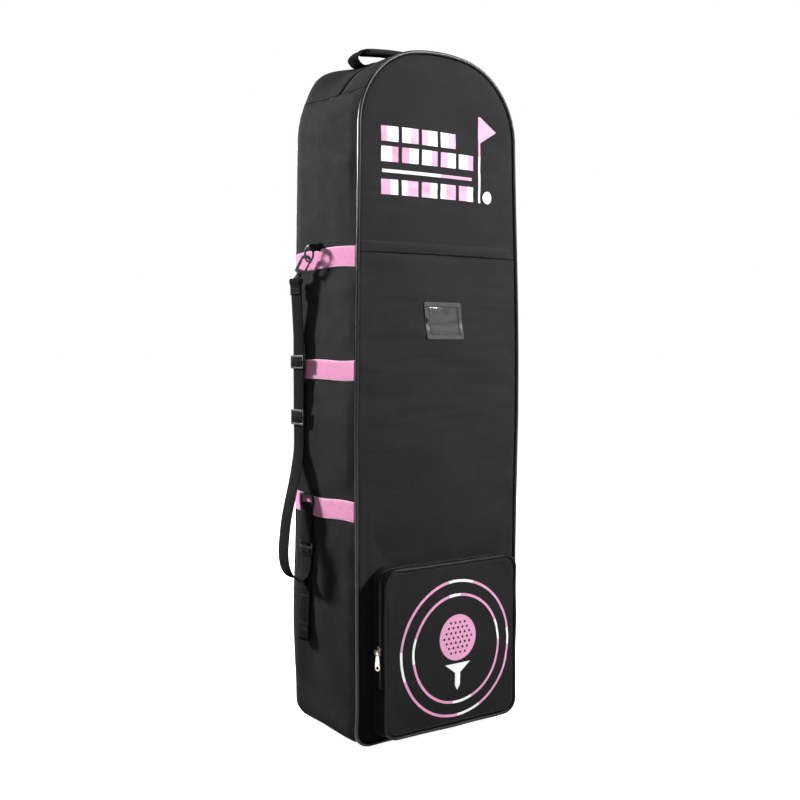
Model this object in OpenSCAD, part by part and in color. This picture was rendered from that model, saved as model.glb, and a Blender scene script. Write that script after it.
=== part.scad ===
// Soft golf travel case that stands upright: a padded fabric shell with an arched top,
// split by a long zipper into a rear half and a front half that opens like a book.
// Millimetres. Z is up, the front faces -Y, and the origin is on the floor under the base.

/* [Body] */
// Height of the top of the arch above the floor
body_h = 1300; // [1200:10:1360]
// Depth from the front piping to the flat of the back panel
body_d = 258; // [240:2:280]
// Half width at the base
half_w_base = 191; // [180:1:200]
// Half width at the widest height
half_w_mid = 193; // [182:1:202]
// Half width where the arch starts
half_w_top = 185; // [176:1:194]
// Height of the widest part
mid_z = 600; // [500:10:700]
// Radius of the shoulders of the arch
shoulder_r = 150; // [130:1:160]
// Height of the shoulder centres
shoulder_z = 1147; // [1130:1:1147]
// Radius of the bottom corners of the face
bottom_r = 35; // [30:1:45]
// Radius of the rounded rear edge
rear_r = 60; // [40:1:70]
// Thickness of the fabric wall with its foam
wall = 4; // [3:0.5:5]
// Thickness of the crowned front panels
panel_t = 6; // [4:0.5:8]

/* [Zipper and seams] */
// Depth position of the main zipper
zip_y = -40; // [-50:1:-30]
// Half of the gap in the fabric that shows the zipper
zip_gap = 5; // [4:0.5:7]
// Height of the seam where the side gusset meets the top gusset
gusset_seam_z = 1218; // [1200:1:1225]
// Height of the seam between the two front panels
panel_seam_z = 918; // [900:1:930]
// Radius of the front piping cord
piping_r = 3.5; // [2.5:0.5:4]
// Radius of the rear piping cord
rear_piping_r = 2.2; // [1.8:0.1:2.4]

/* [Bands] */
// Width of the webbing bands and of the shoulder strap
webbing_w = 38; // [30:1:40]
// Thickness of one layer of webbing
webbing_t = 2; // [1.5:0.1:2]
// Height of the centre of the upper band
upper_band_z = 909; // [890:1:930]
// Height of the centre of the middle band
middle_band_z = 701; // [680:1:720]
// Height of the centre of the lower band
lower_band_z = 439; // [430:1:450]

/* [Pocket] */
// Half width of the front pocket
pocket_half_w = 158; // [140:1:165]
// Height of the bottom of the pocket
pocket_z0 = 18; // [18:1:24]
// Height of the top of the pocket
pocket_z1 = 334; // [310:1:345]
// How far the pocket stands out of the front panel
pocket_d = 42; // [36:1:50]
// Radius of the corners of the pocket
pocket_r = 28; // [20:1:36]

/* [Wheels] */
// Radius of a wheel
wheel_r = 35; // [33:1:36]
// Width of a tyre
wheel_w = 22; // [20:1:24]
// Distance of a wheel from the middle plane
wheel_x = 128; // [120:1:130]
// Depth position of the axles
axle_y = 104; // [100:1:106]
// Height of the axles
axle_z = 35.8; // [35.8:0.1:38]
// Radius of an axle
axle_r = 4; // [3:0.5:4]

/* [Handle] */
// Depth position of the top handle
handle_y = -6; // [-12:1:0]
// Half of the distance between the ends of the handle
handle_half_l = 112; // [100:1:118]
// Height of the middle of the grip
grip_z = 1318; // [1314:1:1322]

/* [Hidden] */

front_y = -body_d / 2;
rear_y = body_d / 2;
fabric_z0 = 3;
bend_y = rear_y - rear_r;
panel_y = front_y - panel_t;
// The flat arc over the top that joins both shoulders
shoulder_x = half_w_top - shoulder_r;
crown_k = body_h - shoulder_z;
crown_r = (shoulder_x * shoulder_x + crown_k * crown_k - shoulder_r * shoulder_r)
    / (2 * (crown_k - shoulder_r));
crown_z = body_h - crown_r;
crown_angle = atan2(shoulder_z - crown_z, shoulder_x);
seam_angle = asin((gusset_seam_z - shoulder_z) / shoulder_r);
// Centre of the bottom corner
corner_x = half_w_base - bottom_r;
corner_z = fabric_z0 + bottom_r;

// Half width of the case at a height
function half_w(z) = z < mid_z
    ? half_w_base + (half_w_mid - half_w_base) * z / mid_z
    : half_w_mid + (half_w_top - half_w_mid) * (z - mid_z) / (shoulder_z - mid_z);
// A station is [x, z, outward x, outward z]
function arc_station(cx, cz, r, a) = [cx + r * cos(a), cz + r * sin(a), cos(a), sin(a)];
function side_station(z) = [half_w(z), z, 1, 0];
function mirrored(s) = [for (i = [len(s) - 1 : -1 : 0]) [-s[i][0], s[i][1], -s[i][2], s[i][3]]];
corner_run = [for (i = [0:5]) arc_station(corner_x, corner_z, bottom_r, -90 + 18 * i)];
side_run = [for (z = [150, 330, 600, 870, shoulder_z]) side_station(z)];
shoulder_run = [for (i = [1:3]) arc_station(shoulder_x, shoulder_z, shoulder_r, seam_angle * i / 3)];
right_run = concat(corner_run, side_run, shoulder_run);
arch_run = [for (i = [0:6])
    arc_station(shoulder_x, shoulder_z, shoulder_r, seam_angle + (crown_angle - seam_angle) * i / 6)];
crown_run = [for (i = [1:2])
    arc_station(0, crown_z, crown_r, crown_angle + (90 - crown_angle) * i / 3)];
half_top = concat(arch_run, crown_run);
top_run = concat(half_top, [[0, body_h, 0, 1]], mirrored(half_top));
left_run = mirrored(right_run);
bottom_run = [[-corner_x, fabric_z0, 0, -1], [corner_x, fabric_z0, 0, -1]];
inner_top = [for (i = [1 : len(top_run) - 2]) top_run[i]];
open_run = concat(right_run, inner_top, left_run);
zip_run = concat([bottom_run[0]], [for (i = [0 : len(right_run) - 2]) right_run[i]], top_run);

// Sweeps a closed profile of [inset, y] points along stations
function swept_points(profile, run) = [for (s = run) for (p = profile)
    [s[0] - p[0] * s[2], p[1], s[1] - p[0] * s[3]]];
function swept_sides(n, m, loop) = [for (j = [0 : (loop ? m : m - 1) - 1]) for (i = [0 : n - 1])
    [j * n + i, j * n + (i + 1) % n, ((j + 1) % m) * n + (i + 1) % n, ((j + 1) % m) * n + i]];
// The profiles go out along one side and come back along the other, so four-sided pieces fill the ends
function cap_quad(n, i) = [i, i + 1, n - 2 - i, n - 1 - i];
function swept_caps(n, m) = concat(
    [for (i = [0 : n / 2 - 2]) let (q = cap_quad(n, i)) [q[3], q[2], q[1], q[0]]],
    [for (i = [0 : n / 2 - 2]) [for (k = cap_quad(n, i)) (m - 1) * n + k]]);
module swept(profile, run, loop = false) {
    n = len(profile);
    m = len(run);
    polyhedron(swept_points(profile, run),
        concat(swept_sides(n, m, loop), loop ? [] : swept_caps(n, m)), convexity = 8);
}
function disc(inset, y, r, n = 8) = [for (i = [0 : n - 1])
    [inset + r * cos(-360 * i / n), y + r * sin(-360 * i / n)]];
function slab(i0, i1, y0, y1) = [[i0, y0], [i1, y0], [i1, y1], [i0, y1]];
// The wall profile from a depth to the seam in the middle of the rounded rear edge
function round_point(r, a) = [rear_r - r * cos(a), bend_y + r * sin(a)];
function rear_profile(y0, t0, t1, end_a = 44) = concat([[t1, y0]],
    [for (a = [0, 15, 30, end_a]) round_point(rear_r - t1, a)],
    [for (a = [end_a, 30, 15, 0]) round_point(rear_r - t0, a)], [[t0, y0]]);
outline = [for (s = open_run) [s[0], s[1]]];
module face_plate(inset, y0, y1) {
    translate([0, y1, 0])
        rotate([90, 0, 0])
            linear_extrude(y1 - y0)
                offset(delta = -inset)
                    polygon(outline);
}

// ---- rear half ----
bucket_half_w = 20.5;
bucket_y0 = axle_y - 43;
bucket_z1 = axle_z + 42;
// Clears the room of the two wheel housings out of a wall
module wheel_cuts(gap) {
    for (side = [-1, 1])
        translate([side * wheel_x - bucket_half_w - gap, bucket_y0 - gap, -20])
            cube([2 * (bucket_half_w + gap), 120, bucket_z1 + 20 + gap]);
}
module dish(d) {
    hull()
        for (a = [46, 60, 75, 90])
            translate([0, bend_y + (rear_r - d) * sin(a) - 0.1, 0])
                rotate([90, 0, 0])
                    linear_extrude(0.1)
                        offset(delta = -(rear_r - (rear_r - d) * cos(a)))
                            polygon(outline);
}
module back_panel() {
    color("#2c2b2d")
        difference() {
            dish(0);
            translate([0, -0.2, 0]) dish(wall);
            wheel_cuts(0.3);
        }
}
module left_gusset_rear() {
    color("#333235")
        swept(rear_profile(zip_y, 0, wall), left_run);
}
module right_gusset_rear() {
    color("#333235")
        swept(rear_profile(zip_y + zip_gap, 0, wall), right_run);
}
module top_gusset_rear() {
    color("#39383b")
        swept(rear_profile(zip_y + zip_gap, 0, wall), top_run);
}
module bottom_gusset_rear() {
    color("#2a292b")
        difference() {
            swept(rear_profile(zip_y + zip_gap, 0, wall), bottom_run);
            wheel_cuts(0.3);
        }
}
// The piping stops where the base guard covers the seam
module rear_piping() {
    c = round_point(rear_r + rear_piping_r + 0.05, 45);
    color("#111112")
        swept(disc(c[0], c[1], rear_piping_r, 6), open_run);
}
guard_half_w = 152;
guard_t = 2.7;
guard_top = 116;
module base_guard() {
    r0 = rear_r + 0.3;
    r1 = r0 + guard_t;
    cz = fabric_z0 + rear_r;
    arc = [for (i = [0:9]) -90 + 10 * i];
    profile = concat([[zip_y + 4, cz - r1]],
        [for (a = arc) [bend_y + r1 * cos(a), cz + r1 * sin(a)]], [[bend_y + r1, guard_top]],
        [[bend_y + r0, guard_top]],
        [for (i = [9:-1:0]) [bend_y + r0 * cos(arc[i]), cz + r0 * sin(arc[i])]],
        [[zip_y + 4, cz - r0]]);
    color("#1b1b1d")
        difference() {
            translate([-guard_half_w, 0, 0])
                rotate([90, 0, 90])
                    linear_extrude(2 * guard_half_w)
                        polygon(profile);
            wheel_cuts(0.3);
        }
}
module base_board() {
    color("#4a4339")
        difference() {
            translate([-150, zip_y + tape_w + 2, fabric_z0 + wall + 0.2])
                cube([300, 92, 3]);
            wheel_cuts(0.5);
        }
}
housing_t = 2.5;
well_r = 39.5;
// The round room over a wheel, open below and behind
module wheel_well(w) {
    translate([0, axle_y, axle_z])
        rotate([0, 90, 0])
            cylinder(r = well_r, h = w);
    translate([0, axle_y - well_r, -1])
        cube([w, 2 * well_r, axle_z + 1]);
    translate([0, axle_y, -1])
        cube([w, well_r, axle_z + well_r + 1]);
}
// Everything inside the rounded lower rear edge, grown to a radius
module rounded_heel(w, r) {
    translate([-w / 2, bend_y, fabric_z0 + rear_r])
        rotate([0, 90, 0])
            cylinder(r = r, h = w);
    translate([-w / 2, bend_y - 100, 0])
        cube([w, 100, 200]);
    translate([-w / 2, bend_y - 100, fabric_z0 + rear_r])
        cube([w, 100 + r, 200]);
}
module wheel_housings() {
    color("#1d1d1f")
        for (side = [-1, 1])
            translate([side * wheel_x, 0, 0])
                difference() {
                    intersection() {
                        translate([-bucket_half_w, bucket_y0, 0.6])
                            cube([2 * bucket_half_w, rear_y + 2.5 - bucket_y0, bucket_z1 - 0.6]);
                        rounded_heel(2 * bucket_half_w + 2, rear_r + 4.5);
                    }
                    translate([-bucket_half_w + housing_t, 0, 0])
                        wheel_well(2 * (bucket_half_w - housing_t));
                    translate([-30, axle_y, axle_z])
                        rotate([0, 90, 0])
                            cylinder(r = axle_r + 0.02, h = 60);
                }
}
pin_l = 50;
module axle_pins() {
    color("#9a9ca0")
        for (side = [-1, 1])
            translate([side * wheel_x, axle_y, axle_z])
                rotate([0, 90 * side, 0]) {
                    translate([0, 0, bucket_half_w - pin_l + 2])
                        cylinder(r = axle_r, h = pin_l);
                    translate([0, 0, bucket_half_w])
                        cylinder(r = 7, h = 2);
                }
}
module axle_nuts() {
    color("#85878b")
        for (side = [-1, 1])
            translate([side * (wheel_x - bucket_half_w), axle_y, axle_z])
                rotate([0, -90 * side, 0])
                    difference() {
                        cylinder(r = 7.5, h = 5, $fn = 6);
                        translate([0, 0, -1])
                            cylinder(r = axle_r + 0.02, h = 8);
                    }
}
// One half of the zipper: a woven tape under the fabric, with the coil along its edge
tape_w = 16;
coil_w = 3.2;
coil_top = 1.6;
tape_top = wall + 0.1;
tape_under = wall + 1.1;
rear_zip_profile = [[coil_top, zip_y + 0.2], [tape_under, zip_y + 0.2], [tape_under, zip_y + tape_w],
    [tape_top, zip_y + tape_w], [tape_top, zip_y + coil_w], [coil_top, zip_y + coil_w]];
front_zip_profile = [[coil_top, zip_y - coil_w], [tape_top, zip_y - coil_w], [tape_top, zip_y - tape_w],
    [tape_under, zip_y - tape_w], [tape_under, zip_y - 0.2], [coil_top, zip_y - 0.2]];
module rear_zip_half() {
    color("#161617") swept(rear_zip_profile, zip_run);
}
module front_zip_half() {
    color("#161617") swept(front_zip_profile, zip_run);
}
function band_run(z) = [for (dz = [webbing_w / 2, -webbing_w / 2])
    let (s = side_station(z + dz)) [-s[0], s[1], -1, 0]];
module rear_bands() {
    color("#f397cf")
        for (z = [upper_band_z, middle_band_z, lower_band_z])
            swept(rear_profile(zip_y, -webbing_t, -0.03, 40), band_run(z));
}
module front_bands() {
    color("#f397cf")
        for (z = [upper_band_z, middle_band_z, lower_band_z])
            swept(slab(-webbing_t, 0, front_y + piping_r + 0.2, zip_y), band_run(z));
}
inner_strap_z = [430, 880];
inner_strap_y = rear_y - wall - 3;
module inner_straps() {
    color("#202022")
        for (z = inner_strap_z)
            for (side = [-1, 1])
                translate([side * 72 - 48, inner_strap_y, z - webbing_w / 2])
                    cube([96, webbing_t, webbing_w]);
}
module inner_buckles() {
    color("#151517")
        for (z = inner_strap_z)
            translate([0, inner_strap_y - 3, z]) {
                cube([46, 10, 44], center = true);
                translate([28, -1, 0])
                    cube([16, 7.6, 30], center = true);
            }
}

// ---- shoulder strap ----
eye = [-206, 62, 874];
pull_angle = 46;
wire_r = 2;
ring_r = 15;
ring_at = 69;
bow_at = 52;
module along_hook(twist) {
    translate(eye)
        rotate([pull_angle, 0, 0])
            rotate([0, 0, twist])
                children();
}
module torus(big, small) {
    rotate_extrude($fn = 64)
        translate([big, 0])
            circle(r = small, $fn = 24);
}
hook_twist = -28;
module upper_ring() {
    color("#3a3b3f")
        along_hook(0)
            translate([0, 0, ring_at])
                rotate([0, 90, 0])
                    torus(ring_r, wire_r);
}
// A loop of webbing round the ring, sewn flat to the gusset
module ring_tab() {
    sewn_x = -half_w(932) - eye[0];
    loop_z = ring_at + ring_r;
    color("#222224")
        along_hook(0) {
            hull() {
                translate([0, 0, loop_z])
                    rotate([90, 0, 0])
                        cylinder(r = 4, h = 15, center = true, $fn = 24);
                translate([sewn_x - 2.2, -7.5, loop_z + 8])
                    cube([2, 15, 2]);
            }
            translate([sewn_x - 2.2, -7.5, loop_z + 8])
                cube([2, 15, 26]);
        }
}
barrel_z0 = 9;
barrel_z1 = 18;
// The bar that holds the strap, its two arms and the barrel that the hook turns in
module swivel_frame() {
    translate(eye)
        rotate([90, 0, 0])
            cylinder(r = 2.5, h = webbing_w + 8, center = true);
    translate(eye + [0, webbing_w / 2 + 2, 0])
        rotate([66, 0, 0])
            cylinder(r = 2.2, h = 31);
    translate(eye - [0, webbing_w / 2 + 2, 0])
        rotate([-28, 0, 0])
            cylinder(r = 2.2, h = 18);
    along_hook(0)
        translate([0, 0, barrel_z0])
            cylinder(r = 5.5, h = barrel_z1 - barrel_z0);
}
module swivel_eye() {
    color("#2b2c30")
        difference() {
            swivel_frame();
            along_hook(0) {
                translate([0, 0, 4.6])
                    cylinder(r = 2.55, h = 20);
                translate([0, 0, 4.6])
                    cylinder(r = 3.4, h = barrel_z0 - 4.7);
                translate([0, 0, barrel_z1])
                    cylinder(r = 14, h = 12);
            }
        }
}
module hook_outline() {
    difference() {
        union() {
            translate([0, bow_at]) circle(r = 11, $fn = 48);
            translate([-11, 24]) square([5, bow_at - 24]);
            translate([-11, 21]) square([22, 6]);
            translate([6.2, 21]) square([4.8, 12]);
        }
        translate([0, bow_at]) circle(r = 6.8, $fn = 48);
        translate([-6, 27]) square([12, bow_at - 27]);
        translate([5.8, 33]) square([8, bow_at - 33]);
    }
}
module snap_hook() {
    color("#2f3034") {
        along_hook(hook_twist) {
            rotate([90, 0, 0])
                linear_extrude(5, center = true)
                    hook_outline();
            translate([0, 0, barrel_z0 - 3]) cylinder(r = 2.5, h = 14);
            translate([0, 0, barrel_z0 - 4]) cylinder(r = 3.1, h = 3.4);
            translate([0, 0, barrel_z1 + 0.4]) cylinder(r = 4, h = 4);
        }
    }
}
module hook_gate() {
    color("#54565b")
        along_hook(hook_twist)
            translate([6.6, -1.8, 33.3])
                cube([3.4, 3.6, bow_at - 33.6]);
}
strap_route = [[-206, 62, 869.5], [-206, 61, 850], [-204, 60, 805], [-202, 60, 765],
    [-202, 60, 715], [-202, 60, 660], [-202, 60, 607], [-202, 60, 548], [-206, 61, 515],
    [-212, 62, 482], [-221, 63, 444], [-229, 64, 406], [-234, 64, 368], [-236, 63, 338],
    [-233, 61, 313], [-224, 57, 297], [-212, 51, 292], [-203, 44, 302], [-200.5, 38, 319],
    [-200, 36, 339]];
function unit(v) = v / norm(v);
function tangent(p, i) = unit(p[min(i + 1, len(p) - 1)] - p[max(i - 1, 0)]);
// The flat section turns with the route and stays level across its width
strap_section = [[19, 0.6], [18, 1], [-18, 1], [-19, 0.6], [-19, -0.6], [-18, -1], [18, -1], [19, -0.6]];
function across(t) = unit([0, 1, 0] - t[1] * t);
module flat_tube(route, section) {
    n = len(section);
    m = len(route);
    points = [for (i = [0 : m - 1]) let (t = tangent(route, i), u = across(t), v = cross(t, u))
        for (s = section) route[i] + s[0] * u + s[1] * v];
    polyhedron(points, concat(swept_sides(n, m, false), swept_caps(n, m)), convexity = 6);
}
module shoulder_strap() {
    color("#242426") flat_tube(strap_route, strap_section);
}
// A plastic frame with two slots for webbing, flat against the strap
module strap_frame(w, h, t, slot) {
    difference() {
        cube([t, w, h], center = true);
        for (side = [-1, 1])
            translate([0, 0, side * h / 4])
                cube([2 * t, webbing_w + 1, slot], center = true);
    }
}
frame_w = webbing_w + 9;
module strap_keeper() {
    color("#19191b")
        translate([-204.8, 60, 715])
            strap_frame(frame_w, 26, 3, 6);
}
module strap_slider() {
    color("#3b3b3e")
        translate([-204.8, 60, 607])
            strap_frame(frame_w, 30, 3, 7);
}
adjuster_x = -200;
adjuster_y = 36;
adjuster_z = 354;
module adjuster_buckle() {
    color("#151517")
        translate([adjuster_x, adjuster_y, adjuster_z])
            strap_frame(frame_w - 1, 24, 4, 7);
}
lower_ring_z = lower_band_z + 9;
module lower_ring() {
    color("#1a1a1c")
        translate([-199.2, adjuster_y, lower_ring_z])
            difference() {
                cube([4, 48, 23], center = true);
                cube([8, 39, 14], center = true);
            }
}
module adjuster_strap() {
    color("#232325")
        translate([-202.6, adjuster_y - webbing_w / 2, adjuster_z + 12.2])
            cube([1.2, webbing_w, lower_ring_z - adjuster_z - 24]);
    color("#232325")
        translate([-198.4, adjuster_y - webbing_w / 2, adjuster_z + 12.2])
            cube([1.2, webbing_w, lower_ring_z - adjuster_z - 24]);
}
module lower_ring_tab() {
    color("#f397cf")
        translate([-197, adjuster_y + 20 , lower_band_z - 15])
            cube([1.4, 14, 30]);
}
module strap_tail() {
    color("#202022")
        translate([-half_w(230) - 4.4, 42 - 17, 178])
            cube([4, 34, 106]);
}

// ---- wheels ----
module wheel_at(side) {
    translate([side * wheel_x, axle_y, axle_z])
        rotate([0, 90, 0])
            children();
}
hub_r = 23;
bearing_r = 11;
bearing_w = 7;
module wheel_hub(side) {
    color("#c9cacc")
        wheel_at(side)
            difference() {
                cylinder(r = hub_r, h = wheel_w - 4, center = true);
                cylinder(r = axle_r + 2, h = 60, center = true);
                for (s = [-1, 1])
                    translate([0, 0, s * (wheel_w / 2 - 2 - bearing_w / 2)])
                        cylinder(r = bearing_r + 0.02, h = bearing_w + 0.02, center = true);
                for (a = [0:60:300])
                    rotate([0, 0, a])
                        translate([17, 0, 0])
                            cylinder(r = 3.6, h = 60, center = true);
            }
}
module tyre(side) {
    color("#1a1a1a")
        wheel_at(side)
            rotate_extrude($fn = 96)
                polygon([[hub_r, -9], [31, -wheel_w / 2], [34, -8], [wheel_r, -4],
                    [wheel_r, 4], [34, 8], [31, wheel_w / 2], [hub_r, 9]]);
}
module bearings(side) {
    color("#a9abb0")
        wheel_at(side)
            for (s = [-1, 1])
                translate([0, 0, s * (wheel_w / 2 - 2 - bearing_w / 2)])
                    difference() {
                        cylinder(r = bearing_r, h = bearing_w, center = true);
                        cylinder(r = axle_r + 0.05, h = 20, center = true);
                    }
}
module left_wheel_hub() { wheel_hub(-1); }
module right_wheel_hub() { wheel_hub(1); }
module left_tyre() { tyre(-1); }
module right_tyre() { tyre(1); }
module left_bearings() { bearings(-1); }
module right_bearings() { bearings(1); }

// ---- zipper sliders and their pulls ----
// A slider seen from outside, with its plate on +X = 0 and a bridge that holds the pull
slider_w = 9.2;
post_w = 3.2;
pivot_x = 3.9;
pivot_z = -3.1;
module slider_body() {
    translate([0, -slider_w / 2, -9]) cube([2.2, slider_w, 17]);
    translate([0, -post_w / 2, -7]) cube([6.6, post_w, 2]);
    translate([0, -post_w / 2, -1]) cube([6.6, post_w, 2]);
    translate([5.2, -post_w / 2, -7]) cube([1.4, post_w, 8]);
}
// A pull tab that hangs from the pivot of a slider, turned about the vertical
pull_t = 1.1;
module slider_pull(l, w, twist) {
    translate([pivot_x, 0, pivot_z])
        rotate([0, 0, twist])
            difference() {
                translate([-pull_t / 2, -w / 2, -l]) cube([pull_t, w, l + 0.6]);
                translate([-2, -2.4, -5.4]) cube([4, 4.8, 4.8]);
                translate([-2, 0, -l + w / 2])
                    rotate([0, 90, 0])
                        cylinder(r = w / 4, h = 4);
            }
}
main_slider_z = 640;
module at_main_slider() {
    translate([half_w(main_slider_z) - 1.2, zip_y, main_slider_z]) children();
}
module main_zip_slider() {
    color("#b9b4aa") at_main_slider() slider_body();
}
module main_zip_pull() {
    color("#c7c2b8") at_main_slider() slider_pull(36, 10, 0);
}

// ---- front half ----
seam_lap = 1.5;
panel_inset = 4.2;
module above(z) {
    translate([-400, -400, z]) cube([800, 800, 1000]);
}
module below(z) {
    translate([-400, -400, z - 2000]) cube([800, 800, 2000]);
}
module hood_panel() {
    color("#3b3a3c")
        intersection() {
            face_plate(panel_inset, panel_y, front_y);
            above(panel_seam_z + 0.2);
        }
}
module front_panel() {
    color("#2b2a2c")
        intersection() {
            face_plate(panel_inset, panel_y + seam_lap, front_y);
            below(panel_seam_z - 0.2);
        }
}
module left_gusset_front() {
    color("#333235")
        swept(slab(0, wall, front_y + piping_r - 0.5, zip_y), left_run);
}
module right_gusset_front() {
    color("#333235")
        swept(slab(0, wall, front_y + piping_r - 0.5, zip_y - zip_gap), right_run);
}
module top_gusset_front() {
    color("#39383b")
        swept(slab(0, wall, front_y + piping_r - 0.5, zip_y - zip_gap), top_run);
}
module bottom_gusset_front() {
    color("#2a292b")
        swept(slab(0, wall, front_y + piping_r - 0.5, zip_y - zip_gap), bottom_run);
}
module front_piping() {
    color("#0e0e0f")
        swept(disc(0.5, front_y - 0.6, piping_r), open_run, true);
}
module front_skid() {
    color("#1b1b1d")
        translate([-guard_half_w, front_y + 8, 0])
            cube([2 * guard_half_w, zip_y - 7 - front_y - 8, fabric_z0 - 0.3]);
}
id_w = 90;
id_h = 70;
id_z = 796;
id_border = 8;
lower_face_y = panel_y + seam_lap;
module id_frame() {
    color("#37373a")
        translate([-id_w / 2, lower_face_y - 1.6, id_z - id_h / 2])
            difference() {
                cube([id_w, 1.6, id_h]);
                translate([id_border, -1, id_border])
                    cube([id_w - 2 * id_border, 4, id_h - 2 * id_border]);
            }
}
module id_window() {
    color([0.6, 0.62, 0.65, 0.4])
        translate([-id_w / 2 + id_border + 0.1, lower_face_y - 0.7, id_z - id_h / 2 + id_border + 0.1])
            cube([id_w - 2 * id_border - 0.2, 0.4, id_h - 2 * id_border - 0.2]);
}
print_t = 0.4;
tile_w = 36;
tile_h = 28;
tile_pitch = 44;
// A print of plain tiles in three rows, with a flag and a ball beside them
module hood_print() {
    color("#f3f0f2")
        translate([0, panel_y, 0])
            rotate([90, 0, 0])
                linear_extrude(print_t) {
                    for (row = [[1122, 4], [1085, 5], [1025, 5]])
                        for (i = [0 : row[1] - 1])
                            translate([-140 + tile_pitch * i, row[0]])
                                square([tile_w, tile_h]);
                    translate([-138, 1065]) square([206, 6]);
                    translate([86, 1024]) square([5, 166]);
                    polygon([[91, 1190], [91, 1140], [134, 1165]]);
                    translate([110, 1036]) circle(r = 12, $fn = 48);
                }
}

// ---- pocket ----
pocket_y0 = lower_face_y;
pocket_y1 = front_y - pocket_d;
pocket_zip_y = (pocket_y0 + pocket_y1) / 2 - 2;
pocket_wall = 3;
module pocket_shape(grow) {
    w = pocket_half_w + grow;
    r = pocket_r + grow;
    cx = w - r;
    hull()
        for (x = [-cx, cx])
            for (z = [pocket_z0 - grow + r, pocket_z1 + grow - r])
                translate([x, z]) circle(r = r, $fn = 32);
}
module pocket_ring(outer, inner, y_front, y_rear) {
    translate([0, y_rear, 0])
        rotate([90, 0, 0])
            linear_extrude(y_rear - y_front)
                difference() {
                    pocket_shape(outer);
                    pocket_shape(inner);
                }
}
module pocket_gusset_rear() {
    color("#29282a") pocket_ring(0, -pocket_wall, pocket_zip_y + 3.2, pocket_y0);
}
module pocket_gusset_front() {
    color("#29282a") pocket_ring(0, -pocket_wall, pocket_y1 + 2, pocket_zip_y - 3.2);
}
module pocket_zip_rear() {
    color("#161617") pocket_ring(-0.6, -2.4, pocket_zip_y + 0.15, pocket_zip_y + 3);
}
module pocket_zip_front() {
    color("#161617") pocket_ring(-0.6, -2.4, pocket_zip_y - 3, pocket_zip_y - 0.15);
}
module pocket_piping() {
    color("#101011") pocket_ring(2, -4, pocket_y1 - 3.5, pocket_y1 + 1.8);
}
pocket_face_y = pocket_y1 - 5;
module pocket_front() {
    color("#242325")
        translate([0, pocket_y1 + 1.8, 0])
            rotate([90, 0, 0])
                linear_extrude(pocket_y1 + 1.8 - pocket_face_y)
                    pocket_shape(-4.2);
}
ring_x = 6;
ring_z = 168;
// Two rings with a ball on a tee
module pocket_print() {
    color("#f397cf")
        translate([ring_x, pocket_face_y, ring_z])
            rotate([90, 0, 0])
                linear_extrude(print_t) {
                    difference() {
                        circle(r = 130, $fn = 96);
                        circle(r = 123.5, $fn = 96);
                    }
                    difference() {
                        circle(r = 106, $fn = 96);
                        circle(r = 100, $fn = 96);
                    }
                    translate([0, 22]) circle(r = 44, $fn = 96);
                    polygon([[-30, -28], [30, -28], [6, -46], [6, -70], [0, -80], [-6, -70], [-6, -46]]);
                }
}
pocket_slider_z = 184;
pocket_pull_twist = 8;
module at_pocket_slider() {
    translate([-pocket_half_w - 0.3, pocket_zip_y, pocket_slider_z])
        rotate([0, 0, 180])
            children();
}
module pocket_slider() {
    color("#cfc6b4") at_pocket_slider() slider_body();
}
module pocket_pull() {
    color("#d8cfbe") at_pocket_slider() slider_pull(34, 11, pocket_pull_twist);
}

// ---- top handle ----
handle_foot_z = 1278.6;
grip_half_l = handle_half_l - 8;
module handle_strap() {
    color("#1e1e20")
        for (side = [-1, 1])
            hull()
                for (p = [[handle_half_l, handle_foot_z, 5], [handle_half_l - 6, grip_z - 4, webbing_w - 6]])
                    translate([side * p[0], handle_y, p[1]])
                        rotate([90, 0, 0])
                            cylinder(r = 1.6, h = p[2], center = true, $fn = 12);
}
module handle_grip() {
    color("#1a1a1c")
        translate([-grip_half_l, handle_y - 14, grip_z - 6])
            cube([2 * grip_half_l, 28, 12]);
}

back_panel();
left_gusset_rear();
top_gusset_rear();
right_gusset_rear();
bottom_gusset_rear();
rear_piping();
base_guard();
base_board();
wheel_housings();
axle_pins();
axle_nuts();
rear_zip_half();
rear_bands();
inner_straps();
inner_buckles();
ring_tab();
upper_ring();
swivel_eye();
shoulder_strap();
strap_keeper();
strap_slider();
adjuster_buckle();
adjuster_strap();
lower_ring();
lower_ring_tab();
strap_tail();
left_wheel_hub();
left_tyre();
left_bearings();
right_wheel_hub();
right_tyre();
right_bearings();
snap_hook();
hook_gate();
main_zip_slider();
main_zip_pull();
hood_panel();
front_panel();
left_gusset_front();
top_gusset_front();
right_gusset_front();
bottom_gusset_front();
front_piping();
front_skid();
front_zip_half();
front_bands();
id_frame();
id_window();
hood_print();
pocket_gusset_rear();
pocket_zip_rear();
handle_strap();
handle_grip();
pocket_front();
pocket_gusset_front();
pocket_piping();
pocket_zip_front();
pocket_print();
pocket_slider();
pocket_pull();
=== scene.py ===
"""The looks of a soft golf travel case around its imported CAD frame.

Lengths are millimetres in the frame's own axes (Z up, front facing -Y, origin on the floor),
and become metres once, where a mesh is made.
"""

import math

import bmesh
import bpy
import numpy as np
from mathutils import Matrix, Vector, geometry
from mathutils.bvhtree import BVHTree


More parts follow.
